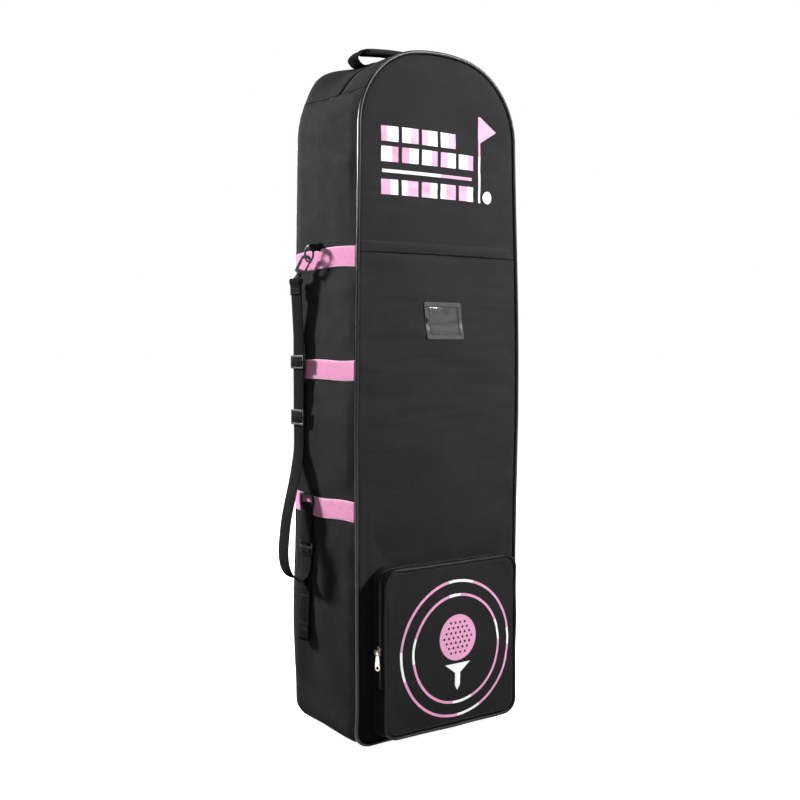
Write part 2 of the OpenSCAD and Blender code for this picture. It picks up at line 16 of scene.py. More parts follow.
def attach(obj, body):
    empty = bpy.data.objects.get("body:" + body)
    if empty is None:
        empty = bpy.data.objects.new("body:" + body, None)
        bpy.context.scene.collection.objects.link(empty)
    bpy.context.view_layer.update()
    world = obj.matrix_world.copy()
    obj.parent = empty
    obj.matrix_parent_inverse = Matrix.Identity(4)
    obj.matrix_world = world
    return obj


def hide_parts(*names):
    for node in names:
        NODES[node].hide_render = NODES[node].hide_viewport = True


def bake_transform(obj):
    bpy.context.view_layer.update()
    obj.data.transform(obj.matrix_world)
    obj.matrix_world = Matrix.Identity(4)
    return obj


MM = 0.001
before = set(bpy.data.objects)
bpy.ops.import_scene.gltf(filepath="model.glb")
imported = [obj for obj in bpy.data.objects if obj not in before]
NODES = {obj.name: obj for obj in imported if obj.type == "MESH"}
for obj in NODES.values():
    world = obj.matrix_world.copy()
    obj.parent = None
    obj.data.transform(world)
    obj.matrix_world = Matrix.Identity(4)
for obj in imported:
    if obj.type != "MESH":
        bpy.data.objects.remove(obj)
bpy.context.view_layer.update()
FORWARD, LEFTWARD, UPWARD, ACROSS = (0, -1, 0), (-1, 0, 0), (0, 0, 1), (0, 1, 0)

# ---------------------------------------------------------------- driving sizes
BODY_H = 1300
FRONT_Y, REAR_Y = -129, 129
HALF_W_BASE, HALF_W_MID, HALF_W_TOP = 191, 193, 185
MID_Z = 600
SHOULDER_R, SHOULDER_Z = 150, 1147
BOTTOM_R, FABRIC_Z0 = 35, 3
REAR_R = 60
BEND_Y = REAR_Y - REAR_R
WALL = 4
ZIP_Y, ZIP_GAP = -40, 5
GUSSET_SEAM_Z, PANEL_SEAM_Z = 1218, 918
PIPING_R, REAR_PIPING_R = 3.5, 2.4
WEBBING_W = 38
BAND_Z = (909, 701, 439)
POCKET_HALF_W, POCKET_Z0, POCKET_Z1, POCKET_R = 158, 18, 334, 28
POCKET_BACK_Y, POCKET_FRONT_Y = -133.5, -171
POCKET_ZIP_Y = (POCKET_BACK_Y + POCKET_FRONT_Y) / 2 - 2
POCKET_LOW_Z = 112
PANEL_BULGE, POCKET_BULGE = 13, 8

SHOULDER_X = HALF_W_TOP - SHOULDER_R
CROWN_K = BODY_H - SHOULDER_Z
CROWN_R = (SHOULDER_X**2 + CROWN_K**2 - SHOULDER_R**2) / (2 * (CROWN_K - SHOULDER_R))
CROWN_Z = BODY_H - CROWN_R
CROWN_ANGLE = math.degrees(math.atan2(SHOULDER_Z - CROWN_Z, SHOULDER_X))
SEAM_ANGLE = math.degrees(math.asin((GUSSET_SEAM_Z - SHOULDER_Z) / SHOULDER_R))
CORNER_X, CORNER_Z = HALF_W_BASE - BOTTOM_R, FABRIC_Z0 + BOTTOM_R


# ---------------------------------------------------------------- the outline of the case
def half_w(z):
    """Half the width of the case at a height."""
    return np.interp(z, [0, MID_Z, SHOULDER_Z], [HALF_W_BASE, HALF_W_MID, HALF_W_TOP])


def arc(cx, cz, r, a0, a1, step=3.0):
    """Stations [x, z, outward x, outward z] along an arc."""
    a = np.radians(np.linspace(a0, a1, max(2, int(abs(a1 - a0) / step) + 1)))
    return np.stack([cx + r * np.cos(a), cz + r * np.sin(a), np.cos(a), np.sin(a)], 1)


def side(z0, z1):
    """Stations up the right side."""
    z = np.linspace(z0, z1, int(abs(z1 - z0) / 6) + 1)
    return np.stack([half_w(z), z, np.ones_like(z), np.zeros_like(z)], 1)


def mirrored(run):
    """A run of the right side on the left, still in the same sense round the case."""
    return run[::-1] * [-1, 1, -1, 1]


def chain(*runs):
    """Runs joined end to end, without the doubled stations."""
    kept = [runs[0]] + [r[1:] for r in runs[1:]]
    return np.vstack(kept)


RIGHT = chain(
    arc(CORNER_X, CORNER_Z, BOTTOM_R, -90, 0, 9),
    side(CORNER_Z, SHOULDER_Z),
    arc(SHOULDER_X, SHOULDER_Z, SHOULDER_R, 0, SEAM_ANGLE),
)
HALF_TOP = chain(
    arc(SHOULDER_X, SHOULDER_Z, SHOULDER_R, SEAM_ANGLE, CROWN_ANGLE),
    arc(0, CROWN_Z, CROWN_R, CROWN_ANGLE, 90, 1),
)
TOP = chain(HALF_TOP, mirrored(HALF_TOP))
LEFT = mirrored(RIGHT)
BOTTOM = np.stack(
    [np.linspace(-CORNER_X, CORNER_X, 53), np.full(53, FABRIC_Z0), np.zeros(53), -np.ones(53)], 1
)
LOOP = chain(RIGHT, TOP, LEFT, BOTTOM)[:-1]
OPEN = chain(RIGHT, TOP, LEFT)
ZIP_RUN = chain(BOTTOM, RIGHT, TOP)


def lengths(points):
    """Distance along a line of points, from its start."""
    p = np.asarray(points, float)
    d = np.linalg.norm(np.diff(p, axis=0), axis=1)
    return np.concatenate([[0], np.cumsum(d)])


def unit(v):
    """Directions with a length of 1."""
    return v / np.linalg.norm(v, axis=1)[:, None]


def resample(run, step):
    """The same run with stations about step apart."""
    s = lengths(run[:, :2])
    t = np.linspace(0, s[-1], max(2, int(round(s[-1] / step)) + 1))
    out = np.stack([np.interp(t, s, run[:, k]) for k in range(4)], 1)
    return np.hstack([out[:, :2], unit(out[:, 2:])])


def at(run, inset, y):
    """Points on a run, moved in from the outline, at a depth."""
    y = np.broadcast_to(np.asarray(y, float), run.shape[:1])
    return np.stack([run[:, 0] - inset * run[:, 2], y, run[:, 1] - inset * run[:, 3]], 1)


def smoothstep(x, lo, hi):
    """0 up to lo, 1 from hi, and an even curve between."""
    t = np.clip((np.asarray(x, float) - lo) / (hi - lo), 0, 1)
    return t * t * (3 - 2 * t)


def free(s, reach, start=0):
    """0 at both ends of a line of distances, and 1 further than reach from them."""
    return smoothstep(s, start, reach) * smoothstep(s[-1] - s, start, reach)


def ripple(p, wavelength, seed, stretch=(1, 1, 1)):
    """Smooth unevenness from -1 to 1, the same each run: a sum of waves in many directions."""
    waves, calm = 14, 1.4
    rng = np.random.default_rng(seed)
    q = np.asarray(p, float) / np.asarray(stretch, float)
    total = np.zeros(q.shape[:-1])
    for _ in range(waves):
        d = rng.normal(size=3)
        d /= np.linalg.norm(d)
        k = 2 * math.pi / (wavelength * rng.uniform(0.6, 1.7))
        total += np.sin(q @ d * k + rng.uniform(0, 2 * math.pi))
    return total / math.sqrt(waves) / calm


def bell(x, wide):
    """1 in the middle, falling to nothing past wide."""
    return np.exp(-((x / wide) ** 2))


# Where the stuffed fabric stands out past its pattern:
# (middle x, middle z, wide, tall, direction x, direction z, amount, depth where it starts and is full)
SWELLS = [
    (-121, 1270, 63, 63, -0.64, 0.77, 16, 0, 90),
    (121, 1270, 63, 63, 0.64, 0.77, 12, 0, 90),
    (-190, 205, 120, 120, -1.0, 0.0, 7, 15, 100),
    (190, 205, 120, 120, 1.0, 0.0, 5, 15, 100),
    (192, 760, 75.6, 270, 1.0, 0.0, 6.5, -62, -112),
    (-181, 14, 30, 30, -0.75, -0.25, 8, 90, -90),
    (181, 14, 30, 30, 0.75, -0.25, 6, 90, -90),
]


def swell(points):
    """Points of the soft shell, moved to where the fabric really stands."""
    p = np.array(points, float)
    x, y, z = p.T.copy()
    for cx, cz, wide, tall, dx, dz, amount, y0, y1 in SWELLS:
        out = amount * bell(x - cx, wide) * bell(z - cz, tall) * smoothstep((y - y0) / (y1 - y0), 0, 1)
        p[:, 0] += dx * out
        p[:, 2] += dz * out
    return p


# ---------------------------------------------------------------- meshes
def quads(nu, nv, wrap_u=False, wrap_v=False):
    """Faces of a grid of nu by nv points, which may close on itself either way."""
    i = np.arange(nu if wrap_u else nu - 1)[:, None]
    j = np.arange(nv if wrap_v else nv - 1)[None, :]
    i2, j2 = (i + 1) % nu, (j + 1) % nv
    corners = [i * nv + j, i * nv + j2, i2 * nv + j2, i2 * nv + j]
    return np.stack([c.ravel() for c in corners], 1).tolist()


def piece(name, verts, faces, material, body, uvs, slot, replaces, lining=None, inner_faces=(), auto=None,
          soft=True):
    """A mesh object from points in millimetres. inner_faces, by number, take the lining.

    auto is the angle past which an edge stays sharp, and soft pieces follow the swells.
    """
    mesh = bpy.data.meshes.new(name)
    verts = swell(verts) if soft else verts
    mesh.from_pydata((np.asarray(verts, float) * MM).tolist(), [], faces)
    mesh.materials.append(material)
    if lining:
        mesh.materials.append(lining)
        which = np.zeros(len(mesh.polygons), np.int32)
        which[list(inner_faces)] = 1
        mesh.polygons.foreach_set("material_index", which)
    layer = mesh.uv_layers.new(name="UVMap")
    corner = np.empty(len(mesh.loops), np.int32)
    mesh.loops.foreach_get("vertex_index", corner)
    layer.data.foreach_set("uv", (np.asarray(uvs, np.float32)[corner] * MM).ravel())
    bm = bmesh.new()
    bm.from_mesh(mesh)
    bmesh.ops.recalc_face_normals(bm, faces=bm.faces)
    bm.to_mesh(mesh)
    bm.free()
    mesh.polygons.foreach_set("use_smooth", [True] * len(mesh.polygons))
    if auto:
        mesh.set_sharp_from_angle(angle=math.radians(auto))
    obj = bpy.data.objects.new(name, mesh)
    bpy.context.scene.collection.objects.link(obj)
    if body:
        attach(obj, body)
    if replaces:
        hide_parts(*replaces)
    return obj


def modify(obj, kind, **settings):
    """A modifier of a kind, with its settings."""
    m = obj.modifiers.new(kind.title(), kind)
    for key, value in settings.items():
        setattr(m, key, value)


def shell(outer, inner):
    """Points and faces of a closed wall between two grids, and the numbers of its inner faces."""
    nu, nv = outer.shape[:2]
    n = nu * nv
    verts = np.concatenate([outer.reshape(-1, 3), inner.reshape(-1, 3)])
    front = quads(nu, nv)
    back = [[n + i for i in f[::-1]] for f in front]
    number = np.arange(n).reshape(nu, nv)
    edges = [e.tolist() for e in (number[:, 0], number[:, -1], number[0], number[-1])]
    rims = [[a, b, n + b, n + a] for e in edges for a, b in zip(e, e[1:])]
    return verts, front + back + rims, range(len(front), len(front) + len(back))


def grid_uv(u, v):
    """UVs of the two sides of a shell, from lengths along and across it."""
    g = np.stack(np.meshgrid(u, v, indexing="ij"), -1).reshape(-1, 2)
    return np.concatenate([g, g])


def square_to(v, t):
    """Directions v made square to directions t."""
    return unit(v - (v * t).sum(1)[:, None] * t)


def frames_along(path, up):
    """For each point of a path: the up direction made square to it, and the direction across."""
    p = np.asarray(path, float)
    t = unit(np.gradient(p, axis=0))
    u = square_to(np.broadcast_to(np.asarray(up, float), p.shape), t)
    return u, np.cross(t, u)


def sweep(path, u, v, section, closed=False):
    """A section of [along u, along v] points carried along a path. Gives points, faces and UVs."""
    p, section = np.asarray(path, float), np.asarray(section, float)
    n, k = len(p), len(section)
    grid = p[:, None] + section[None, :, :1] * u[:, None] + section[None, :, 1:] * v[:, None]
    faces = quads(n, k, closed, True)
    if not closed:
        faces += [list(range(k))[::-1], list(range((n - 1) * k, n * k))]
    uv = np.stack([np.repeat(lengths(p), k), np.tile(section[:, 0], n)], 1)
    return grid.reshape(-1, 3), faces, uv


def disc(x, z, r, n=40):
    """Points [x, z] round a circle."""
    a = np.linspace(0, 2 * math.pi, n, endpoint=False)
    return np.stack([x + r * np.cos(a), z + r * np.sin(a)], 1)


def flat_section(w, t):
    """A webbing's section, with a rounded selvedge on each side."""
    h = w / 2
    edge = [[h - 1.2, t / 2], [h - 0.3, t * 0.36], [h, 0], [h - 0.3, -t * 0.36], [h - 1.2, -t / 2]]
    return np.array(edge + [[0, -t / 2]] + [[-a, b] for a, b in edge[::-1]] + [[0, t / 2]])


def join(parts):
    """Several (points, faces, uvs) as one."""
    verts, faces, uvs, n = [], [], [], 0
    for v, f, *uv in parts:
        verts.append(v)
        faces += [[i + n for i in face] for face in f]
        uvs.append(uv[0] if uv else np.zeros((len(v), 2)))
        n += len(v)
    return np.concatenate(verts), faces, np.concatenate(uvs)


def tube(path, r, closed=False, n=10):
    """A round cord along a path."""
    p = np.asarray(path, float)
    if closed:
        u, v = (x[1:-1] for x in frames_along(np.vstack([p[-1:], p, p[:1]]), ACROSS))
    else:
        u, v = frames_along(p, ACROSS)
    return sweep(p, u, v, disc(0, 0, r, n), closed)


# A stitch: [place along it, size], and how wide, high and far off the cloth it is for its thickness
STITCH = [(-1.0, 0.12), (-0.5, 0.4), (0.5, 0.4), (1.0, 0.12)]
STITCH_WIDE, STITCH_HIGH = 2.2, 1.4
STITCH_SINK, STITCH_RISE = 0.12, 0.14


def stitches(path, out, pitch=4.2, length=2.9, r=0.42):
    """A row of sewn stitches along a path, lying on the surface that faces out."""
    p = np.asarray(path, float)
    s = lengths(p)
    n = max(2, int(s[-1] / pitch))
    t = (np.arange(n) + 0.5) * s[-1] / n
    out = np.broadcast_to(np.asarray(out, float), p.shape)
    mid, o, ahead, behind = (
        np.stack([np.interp(where, s, line[:, k]) for k in range(3)], 1)
        for where, line in ((t, p), (t, out), (t + 0.5, p), (t - 0.5, p))
    )
    d = unit(ahead - behind)
    o = square_to(o, d)
    w = np.cross(d, o)
    rows = []
    for along, size in STITCH:
        centre = mid + d * along * length / 2 + o * (STITCH_SINK + STITCH_RISE * (abs(along) < 0.9))
        for cu, cv in ((1, 0), (0, 1), (-1, 0), (0, -1)):
            rows.append(centre + w * cu * size * r * STITCH_WIDE + o * cv * size * r * STITCH_HIGH)
    verts = np.stack(rows, 1).reshape(-1, 3)
    k = len(STITCH) * 4
    one = quads(len(STITCH), 4, wrap_v=True) + [[3, 2, 1, 0], list(range(k - 4, k))]
    faces = [[i + m * k for i in f] for m in range(n) for f in one]
    return verts, faces, np.zeros((len(verts), 2))


# ---------------------------------------------------------------- materials
class Look:
    """A procedural material: its shader and the nodes that vary it."""

    def __init__(self, name, base, rough, **sockets):
        self.mat = bpy.data.materials.new(name)
        self.mat.use_nodes = True
        self.tree = self.mat.node_tree
        self.bsdf = self.tree.nodes["Principled BSDF"]
        self.bsdf.inputs["Base Color"].default_value = (*base, 1)
        self.bsdf.inputs["Roughness"].default_value = rough
        for key, value in sockets.items():
            self.bsdf.inputs[key.replace("_", " ").title().replace("Ior", "IOR")].default_value = value
        where = self.tree.nodes.new("ShaderNodeTexCoord")
        self.place, self.uv = where.outputs["Object"], where.outputs["UV"]

    def node(self, kind, inputs, out=0, **settings):
        n = self.tree.nodes.new("ShaderNode" + kind)
        for key, value in settings.items():
            setattr(n, key, value)
        for key, value in inputs.items():
            if isinstance(value, bpy.types.NodeSocket):
                self.tree.links.new(value, n.inputs[key])
            else:
                n.inputs[key].default_value = value
        return n.outputs[out]

    def math(self, op, a, b=0.0):
        return self.node("Math", {0: a, 1: b}, operation=op)

    def axis(self, vector, name):
        return self.node("SeparateXYZ", {0: vector}, out=name)

    def noise(self, scale, detail, stretch=None):
        where = self.place
        if stretch:
            where = self.node("Mapping", {"Vector": where, "Scale": stretch})
        return self.node("TexNoise", {"Vector": where, "Scale": scale, "Detail": detail, "Roughness": 0.55})

    def wave(self, axis, pitch):
        """Waves from -1 to 1 along an axis of the UVs, pitch metres apart."""
        return self.math("SINE", self.math("MULTIPLY", self.axis(self.uv, axis), 2 * math.pi / pitch))

    def spread(self, value, lo, hi, to_lo=0.0, to_hi=1.0):
        """A value between lo and hi, moved to lie between to_lo and to_hi."""
        ends = {"From Min": lo, "From Max": hi, "To Min": to_lo, "To Max": to_hi}
        return self.node("MapRange", {"Value": value, **ends})

    def blend(self, share, a, b):
        """The colour b over the colour a."""
        a, b = (c if isinstance(c, bpy.types.NodeSocket) else (*c, 1) for c in (a, b))
        return self.node("Mix", {0: share, 6: a, 7: b}, out=2, data_type="RGBA")

    def colour(self, rgb):
        out = self.node("RGB", {})
        out.default_value = (*rgb, 1)
        return out

    def shade(self, colour, share):
        """A colour made darker or lighter by a share that varies."""
        return self.node("Mix", {0: 1.0, 6: colour, 7: share}, out=2, data_type="RGBA", blend_type="MULTIPLY")

    def bump(self, *heights):
        """Heights are (value, strength, distance in metres), laid one on another."""
        normal = None
        for value, strength, distance in heights:
            inputs = {"Height": value, "Strength": strength, "Distance": distance}
            if normal is not None:
                inputs["Normal"] = normal
            normal = self.node("Bump", inputs)
        self.tree.links.new(normal, self.bsdf.inputs["Normal"])

    def drive(self, socket, value):
        self.tree.links.new(value, self.bsdf.inputs[socket])


def grey(v):
    """The slightly purple grey of the black cloth."""
    return (v, v * 0.965, v * 1.02)


def fabric(name, high, low, z_low=0.30, z_high=0.86, thread=0.00085):
    """Woven polyester, darker towards the floor: partly the darker lower cloth, partly painted shade where
    the light from above falls off; with its weave and soft creases.
    """
    k = Look(name, grey(high), 0.85, specular_ior_level=0.02)
    z = k.axis(k.place, "Z")
    # Painted shade, partly: the colour darkens from z_high down to z_low, for the darker lower cloth and for
    # less light from above.
    shade = k.blend(k.spread(z, z_low, z_high), grey(low), grey(high))
    mottle = k.spread(k.noise(420, 3), 0.3, 0.7, 0.90, 1.10)
    patches = k.spread(k.noise(9, 3), 0.3, 0.7, 0.93, 1.07)
    k.drive("Base Color", k.shade(k.shade(shade, mottle), patches))
    weave = k.math("MULTIPLY", k.wave("X", thread), k.wave("Y", thread))
    k.bump(
        (k.noise(34, 4, stretch=(1, 1, 0.6)), 0.35, 0.0016),
        (k.noise(160, 3), 0.25, 0.0005),
        (weave, 0.5, 0.00012),
    )
    k.drive("Roughness", k.spread(k.noise(60, 2), 0.3, 0.7, 0.76, 0.90))
    return k.mat


def webbing(name, colour, edge, rough=0.62, rib=0.0019):
    """Flat webbing: ribs in a shallow chevron, with painted shade in their grooves and painted highlight on
    their crests, and a paler selvedge on both sides.
    """
    chevron, slope, rim_from, rim_to = 0.0032, 0.55, 0.0150, 0.0180
    k = Look(name, colour, rough, specular_ior_level=0.0)
    u, v = k.axis(k.uv, "X"), k.axis(k.uv, "Y")
    turned = k.math("ADD", u, k.math("MULTIPLY", k.math("PINGPONG", v, chevron), slope))
    ribs = k.math("SINE", k.math("MULTIPLY", turned, 2 * math.pi / rib))
    rim = k.spread(k.math("ABSOLUTE", v), rim_from, rim_to)
    worn = k.spread(k.noise(300, 4), 0.35, 0.65, 0.90, 1.06)
    # Painted shade in the rib grooves and painted highlight on the rib crests, multiplied into the colour.
    painted_rib_shade = k.spread(ribs, -1, 1, 0.72, 1.14)
    k.drive("Base Color", k.shade(k.shade(k.blend(rim, colour, edge), worn), painted_rib_shade))
    k.bump((ribs, 0.7, 0.0003), (k.noise(900, 2), 0.3, 0.00012), (k.noise(30, 2), 0.2, 0.0015))
    return k.mat


def plain(name, colour, rough, grain=900, depth=0.00012, vary=0.12, rough_vary=0.08, **sockets):
    """A moulded or cast surface with fine grain, small marks and uneven gloss."""
    k = Look(name, colour, rough, **sockets)
    tone = k.spread(k.noise(55, 4), 0.3, 0.7, 1 - vary, 1 + vary)
    k.drive("Base Color", k.shade(k.colour(colour), tone))
    marks = k.noise(240, 5, stretch=(1, 1, 0.25))
    k.drive("Roughness", k.spread(marks, 0.35, 0.7, rough - rough_vary, min(1, rough + rough_vary)))
    k.bump((k.noise(grain, 3), 0.35, depth), (marks, 0.08, depth * 2))
    return k.mat


def ribbed_tape(name):
    """The woven tape of a zipper, with painted shade in the grooves of its ribs and painted highlight on
    their crests.
    """
    k = Look(name, (0.012, 0.012, 0.013), 0.7, sheen_weight=0.1)
    ribs, steps = k.wave("Y", 0.0009), k.wave("X", 0.0011)
    # Painted shade and highlight: the colour follows the ribs, dark in their grooves and light on their
    # crests.
    k.drive("Base Color", k.blend(k.spread(ribs, -1, 1), (0.007, 0.007, 0.008), (0.018, 0.018, 0.019)))
    k.bump((ribs, 0.6, 0.0002), (steps, 0.3, 0.0001))
    return k.mat


def clear_film(name):
    """Soft clear vinyl over a dark card: mostly seen through, with uneven reflections."""
    k = Look(name, (0.05, 0.05, 0.053), 0.10, specular_ior_level=0.9, alpha=0.45)
    k.drive("Roughness", k.spread(k.noise(25, 3), 0.3, 0.7, 0.05, 0.20))
    k.bump((k.noise(26, 2, stretch=(1, 1, 0.4)), 0.6, 0.004))
    return k.mat


# Each cloth darkens towards the floor, partly as painted shade of the light from above.
CHARCOAL = fabric("fabric_charcoal", 0.0275, 0.0205)
DARK = fabric("fabric_dark", 0.021, 0.014)
POCKET_CLOTH = fabric("fabric_pocket", 0.0195, 0.016, 0.02, 0.32)
LINING = fabric("lining", 0.030, 0.022, thread=0.0014)
PIPING, POCKET_PIPING = (
    plain(name, (0.0075, 0.0073, 0.0078), 0.36, grain=400, depth=0.00003, vary=0.2, specular_ior_level=shine)
    for name, shine in (("piping_vinyl", 0.30), ("piping_pocket", 0.09))
)
GUARD = plain("guard_plastic", (0.014, 0.014, 0.015), 0.42, grain=1300, depth=0.0003)
HARD_BLACK = plain("moulded_black", (0.010, 0.010, 0.011), 0.52, grain=1600, specular_ior_level=0.15)
HARD_GREY = plain("moulded_grey", (0.040, 0.040, 0.043), 0.52, grain=1600, specular_ior_level=0.15)
BOARD = plain("base_board", (0.085, 0.072, 0.055), 0.8, grain=500, depth=0.0005, vary=0.25)
STEEL = plain("steel", (0.56, 0.57, 0.59), 0.30, metallic=1.0, grain=2500, depth=0.00003)
BLACK_METAL = plain("black_metal", (0.030, 0.031, 0.035), 0.36, metallic=0.9, grain=1500, vary=0.35,
                    rough_vary=0.12)
NICKEL = plain("zip_metal", (0.78, 0.71, 0.61), 0.32, metallic=0.75, grain=2000, depth=0.00004, vary=0.15)
WHEEL_PLASTIC = plain("wheel_plastic", (0.50, 0.50, 0.52), 0.38, grain=1300)
RUBBER = plain("wheel_rubber", (0.016, 0.016, 0.016), 0.78, grain=700, depth=0.0004)
COIL = plain("zip_coil", (0.010, 0.010, 0.011), 0.34, grain=3000, depth=0.00004)
TAPE = ribbed_tape("zip_tape")
PINK_WEB = webbing("pink_webbing", (1.0, 0.42, 0.69), (1.0, 0.58, 0.80))
BLACK_WEB = webbing("black_webbing", (0.026, 0.0255, 0.026), (0.040, 0.039, 0.040), 0.7, 0.0029)
# The black webbing again, made darker: painted shade for the pieces made of it.
SHADED_WEB = webbing("shaded_webbing", (0.017, 0.0167, 0.0172), (0.028, 0.0275, 0.0285), 0.7, 0.0029)
THREAD = plain("thread_black", (0.022, 0.022, 0.023), 0.6, grain=4000)
PINK_THREAD = plain("thread_pink", (0.93, 0.52, 0.74), 0.6, grain=4000)
WHITE_INK = plain("print_white", (0.80, 0.80, 0.80), 0.50, grain=800, vary=0.05)
PINK_INK = plain("print_pink", (0.62, 0.27, 0.45), 0.50, grain=800, vary=0.05)
VINYL = plain("id_vinyl", (0.050, 0.050, 0.053), 0.42, grain=900, depth=0.0002, specular_ior_level=0.3)
CARD = plain("id_card", (0.058, 0.057, 0.061), 0.6, grain=500, vary=0.08)
FILM = clear_film("id_clear")


# ---------------------------------------------------------------- camera, light and floor
CAMERA_AT, CAMERA_AZIMUTH, CAMERA_PITCH, LENS = (-1.3319, -1.8537, 0.7425), 35.677, 2.636, 50.93
WORLD_LIGHT, FLOOR_GLOW, FLOOR_PAINT = 0.085, 0.985, 0.55
STAGE_R, STAGE_H = 26, 24
LAMP_AIM = Vector((0, 0, 0.65))
LAMPS = [
    ("key", (2.3, -3.2, 2.4), 0.7, 285),
    ("side", (-1.50, 3.25, 2.0), 0.35, 345),
    ("front", (-2.6, -1.6, 1.9), 1.6, 10),
    ("top", (0.0, -0.6, 3.8), 1.6, 50),
    ("rear", (2.4, 2.4, 1.8), 1.6, 90),
]


def put(name, data, location, rotation):
    """An object of the stage, put in the scene."""
    obj = bpy.data.objects.new(name, data)
    obj.location, obj.rotation_euler = location, rotation
    bpy.context.scene.collection.objects.link(obj)
    return obj


def white_stage(name, height, glow, paint):
    """A white disc for the floor, or a white drum round it, that partly shines by itself."""
    bm = bmesh.new()
    if height:
        bmesh.ops.create_cone(bm, cap_ends=True, radius1=STAGE_R, radius2=STAGE_R, depth=height, segments=96)
    else:
        bmesh.ops.create_circle(bm, cap_ends=True, radius=STAGE_R, segments=96)
    mesh = bpy.data.meshes.new(name)
    bm.to_mesh(mesh)
    bm.free()
    look = Look(name + "_paint", (paint, paint, paint), 0.9, specular_ior_level=0.0)
    uneven = look.spread(look.noise(3, 2), 0, 1, 0.99, 1.01)
    look.drive("Base Color", look.shade(look.colour((paint, paint, paint)), uneven))
    look.bsdf.inputs["Emission Color"].default_value = (1, 1, 1, 1)
    look.bsdf.inputs["Emission Strength"].default_value = glow
    mesh.materials.append(look.mat)
    return put(name, mesh, (0, 0, height / 2 - 0.5 if height else -0.0005), (0, 0, 0))


def set_stage():
    scene = bpy.context.scene
    camera = bpy.data.cameras.new("camera")
    camera.lens, camera.clip_end = LENS, 60
    turn = (math.radians(90 - CAMERA_PITCH), 0, -math.radians(CAMERA_AZIMUTH))
    scene.camera = put("camera", camera, CAMERA_AT, turn)
    scene.view_settings.view_transform = "Standard"
    world = bpy.data.worlds.new("studio")
    world.use_nodes = True
    background = world.node_tree.nodes["Background"].inputs
    background["Color"].default_value, background["Strength"].default_value = (1, 1, 1, 1), WORLD_LIGHT
    scene.world = world
    for name, where, size, power in LAMPS:
        lamp = bpy.data.lights.new(name, "AREA")
        lamp.energy, lamp.size = power, size
        put(name, lamp, where, (LAMP_AIM - Vector(where)).to_track_quat("-Z", "Y").to_euler())
    floor = white_stage("floor", 0, FLOOR_GLOW, FLOOR_PAINT)
    backdrop = white_stage("backdrop", STAGE_H, 1.0, 0.0)
    backdrop.visible_diffuse = backdrop.visible_glossy = backdrop.visible_shadow = False
    floor.visible_diffuse = False


set_stage()


# ---------------------------------------------------------------- fabric walls
def wall_profile(y0, y1, turn=0.0, step=6.0):
    """Points [inset, y, outward, back] from y0 to y1, then round the rear edge by turn degrees."""
    y = np.linspace(y0, y1, max(3, int((y1 - y0) / step) + 1))
    flat = np.stack([0 * y, y, 1 + 0 * y, 0 * y], 1)
    if not turn:
        return flat
    a = np.radians(np.linspace(0, turn, int(turn / 5) + 1)[1:])
    bend = [REAR_R - REAR_R * np.cos(a), BEND_Y + REAR_R * np.sin(a), np.cos(a), np.sin(a)]
    return np.vstack([flat, np.stack(bend, 1)])


def wall_grid(run, profile, lift):
    """The points where stations of a run meet points of a profile, raised from the wall by lift."""
    lift = np.broadcast_to(lift, (len(run), len(profile)))
    along = lift * profile[:, 2] - profile[:, 0]
    y = profile[:, 1] + lift * profile[:, 3]
    return np.stack([run[:, :1] + along * run[:, 2:3], y, run[:, 1:2] + along * run[:, 3:4]], -1)


# Where the left side is pulled or pushed: [y, z, wide, tall, out]
DENTS = [
    (-25, 362, 36, 26, 3.6), (-60, 300, 30, 60, -1.6), (-30, 820, 40, 50, -1.4), (20, 560, 60, 40, 2.2),
    (-40, 120, 50, 40, 2.4), (40, 120, 40, 60, -1.5), (-20, 640, 70, 18, -1.3),
]
RING_TAB_AT = (-12, 946)
STRAP_LIES_AT = 42


def held_side(p):
    """How freely the left side stands out: not round the ring's tab, and little under the strap."""
    y, z = p[..., 1], p[..., 2]
    by_tab = smoothstep(np.hypot(y - RING_TAB_AT[0], z - RING_TAB_AT[1]), 30, 62)
    under = bell(y - STRAP_LIES_AT, 30) * smoothstep(z, 180, 280) * smoothstep(-z, -500, -430)
    return by_tab * (1 - 0.75 * under)


def fullness(run, profile, puff, seed, tight=()):
    """How far fabric stands out from its frame: none at its edges and where a band holds it."""
    s, t = lengths(run[:, :2]), lengths(profile[:, :2])
    hold = free(s, 26)
    for z in tight:
        hold = hold * smoothstep(np.abs(run[:, 1] - z), WEBBING_W / 2 + 1, WEBBING_W / 2 + 48)
    p = wall_grid(run, profile, 0.0)
    edge = free(t, 24)
    soft = puff * (0.75 + 0.5 * ripple(p, 240, seed)) + 1.1 * ripple(p, 70, seed + 1, (1, 1.4, 0.9))
    if tight:
        edge = edge * held_side(p)
        for y, z, wide, tall, out in DENTS:
            soft = soft + out * bell(p[..., 1] - y, wide) * bell(p[..., 2] - z, tall)
    return hold[:, None] * edge * soft


def wall(name, run, profile, lift, body, material, slot, replaces, cut=None, thick=WALL):
    """A wall of fabric along a run, with its lining. cut says where it is left open."""
    outer, inner = wall_grid(run, profile, lift), wall_grid(run, profile, np.asarray(lift) - thick)
    verts, faces, back = shell(outer, inner)
    uv = grid_uv(lengths(run[:, :2]), lengths(profile[:, :2]))
    if cut is not None:
        keep = np.flatnonzero(~cut(np.array([verts[f].mean(0) for f in faces]))).tolist()
        back = [k for k, i in enumerate(keep) if i in back]
        faces = [faces[i] for i in keep]
    return piece(name, verts, faces, material, body, uv, slot, replaces, LINING, back)


HOUSING_X, HOUSING_HALF_W, HOUSING_TOP, HOUSING_FRONT = 128, 20.8, 78, 60.5


def wheel_room(p):
    """Whether points lie where the wheel housings stand."""
    beside = np.abs(np.abs(p[:, 0]) - HOUSING_X) < HOUSING_HALF_W
    return beside & (p[:, 2] < HOUSING_TOP) & (p[:, 1] > HOUSING_FRONT)


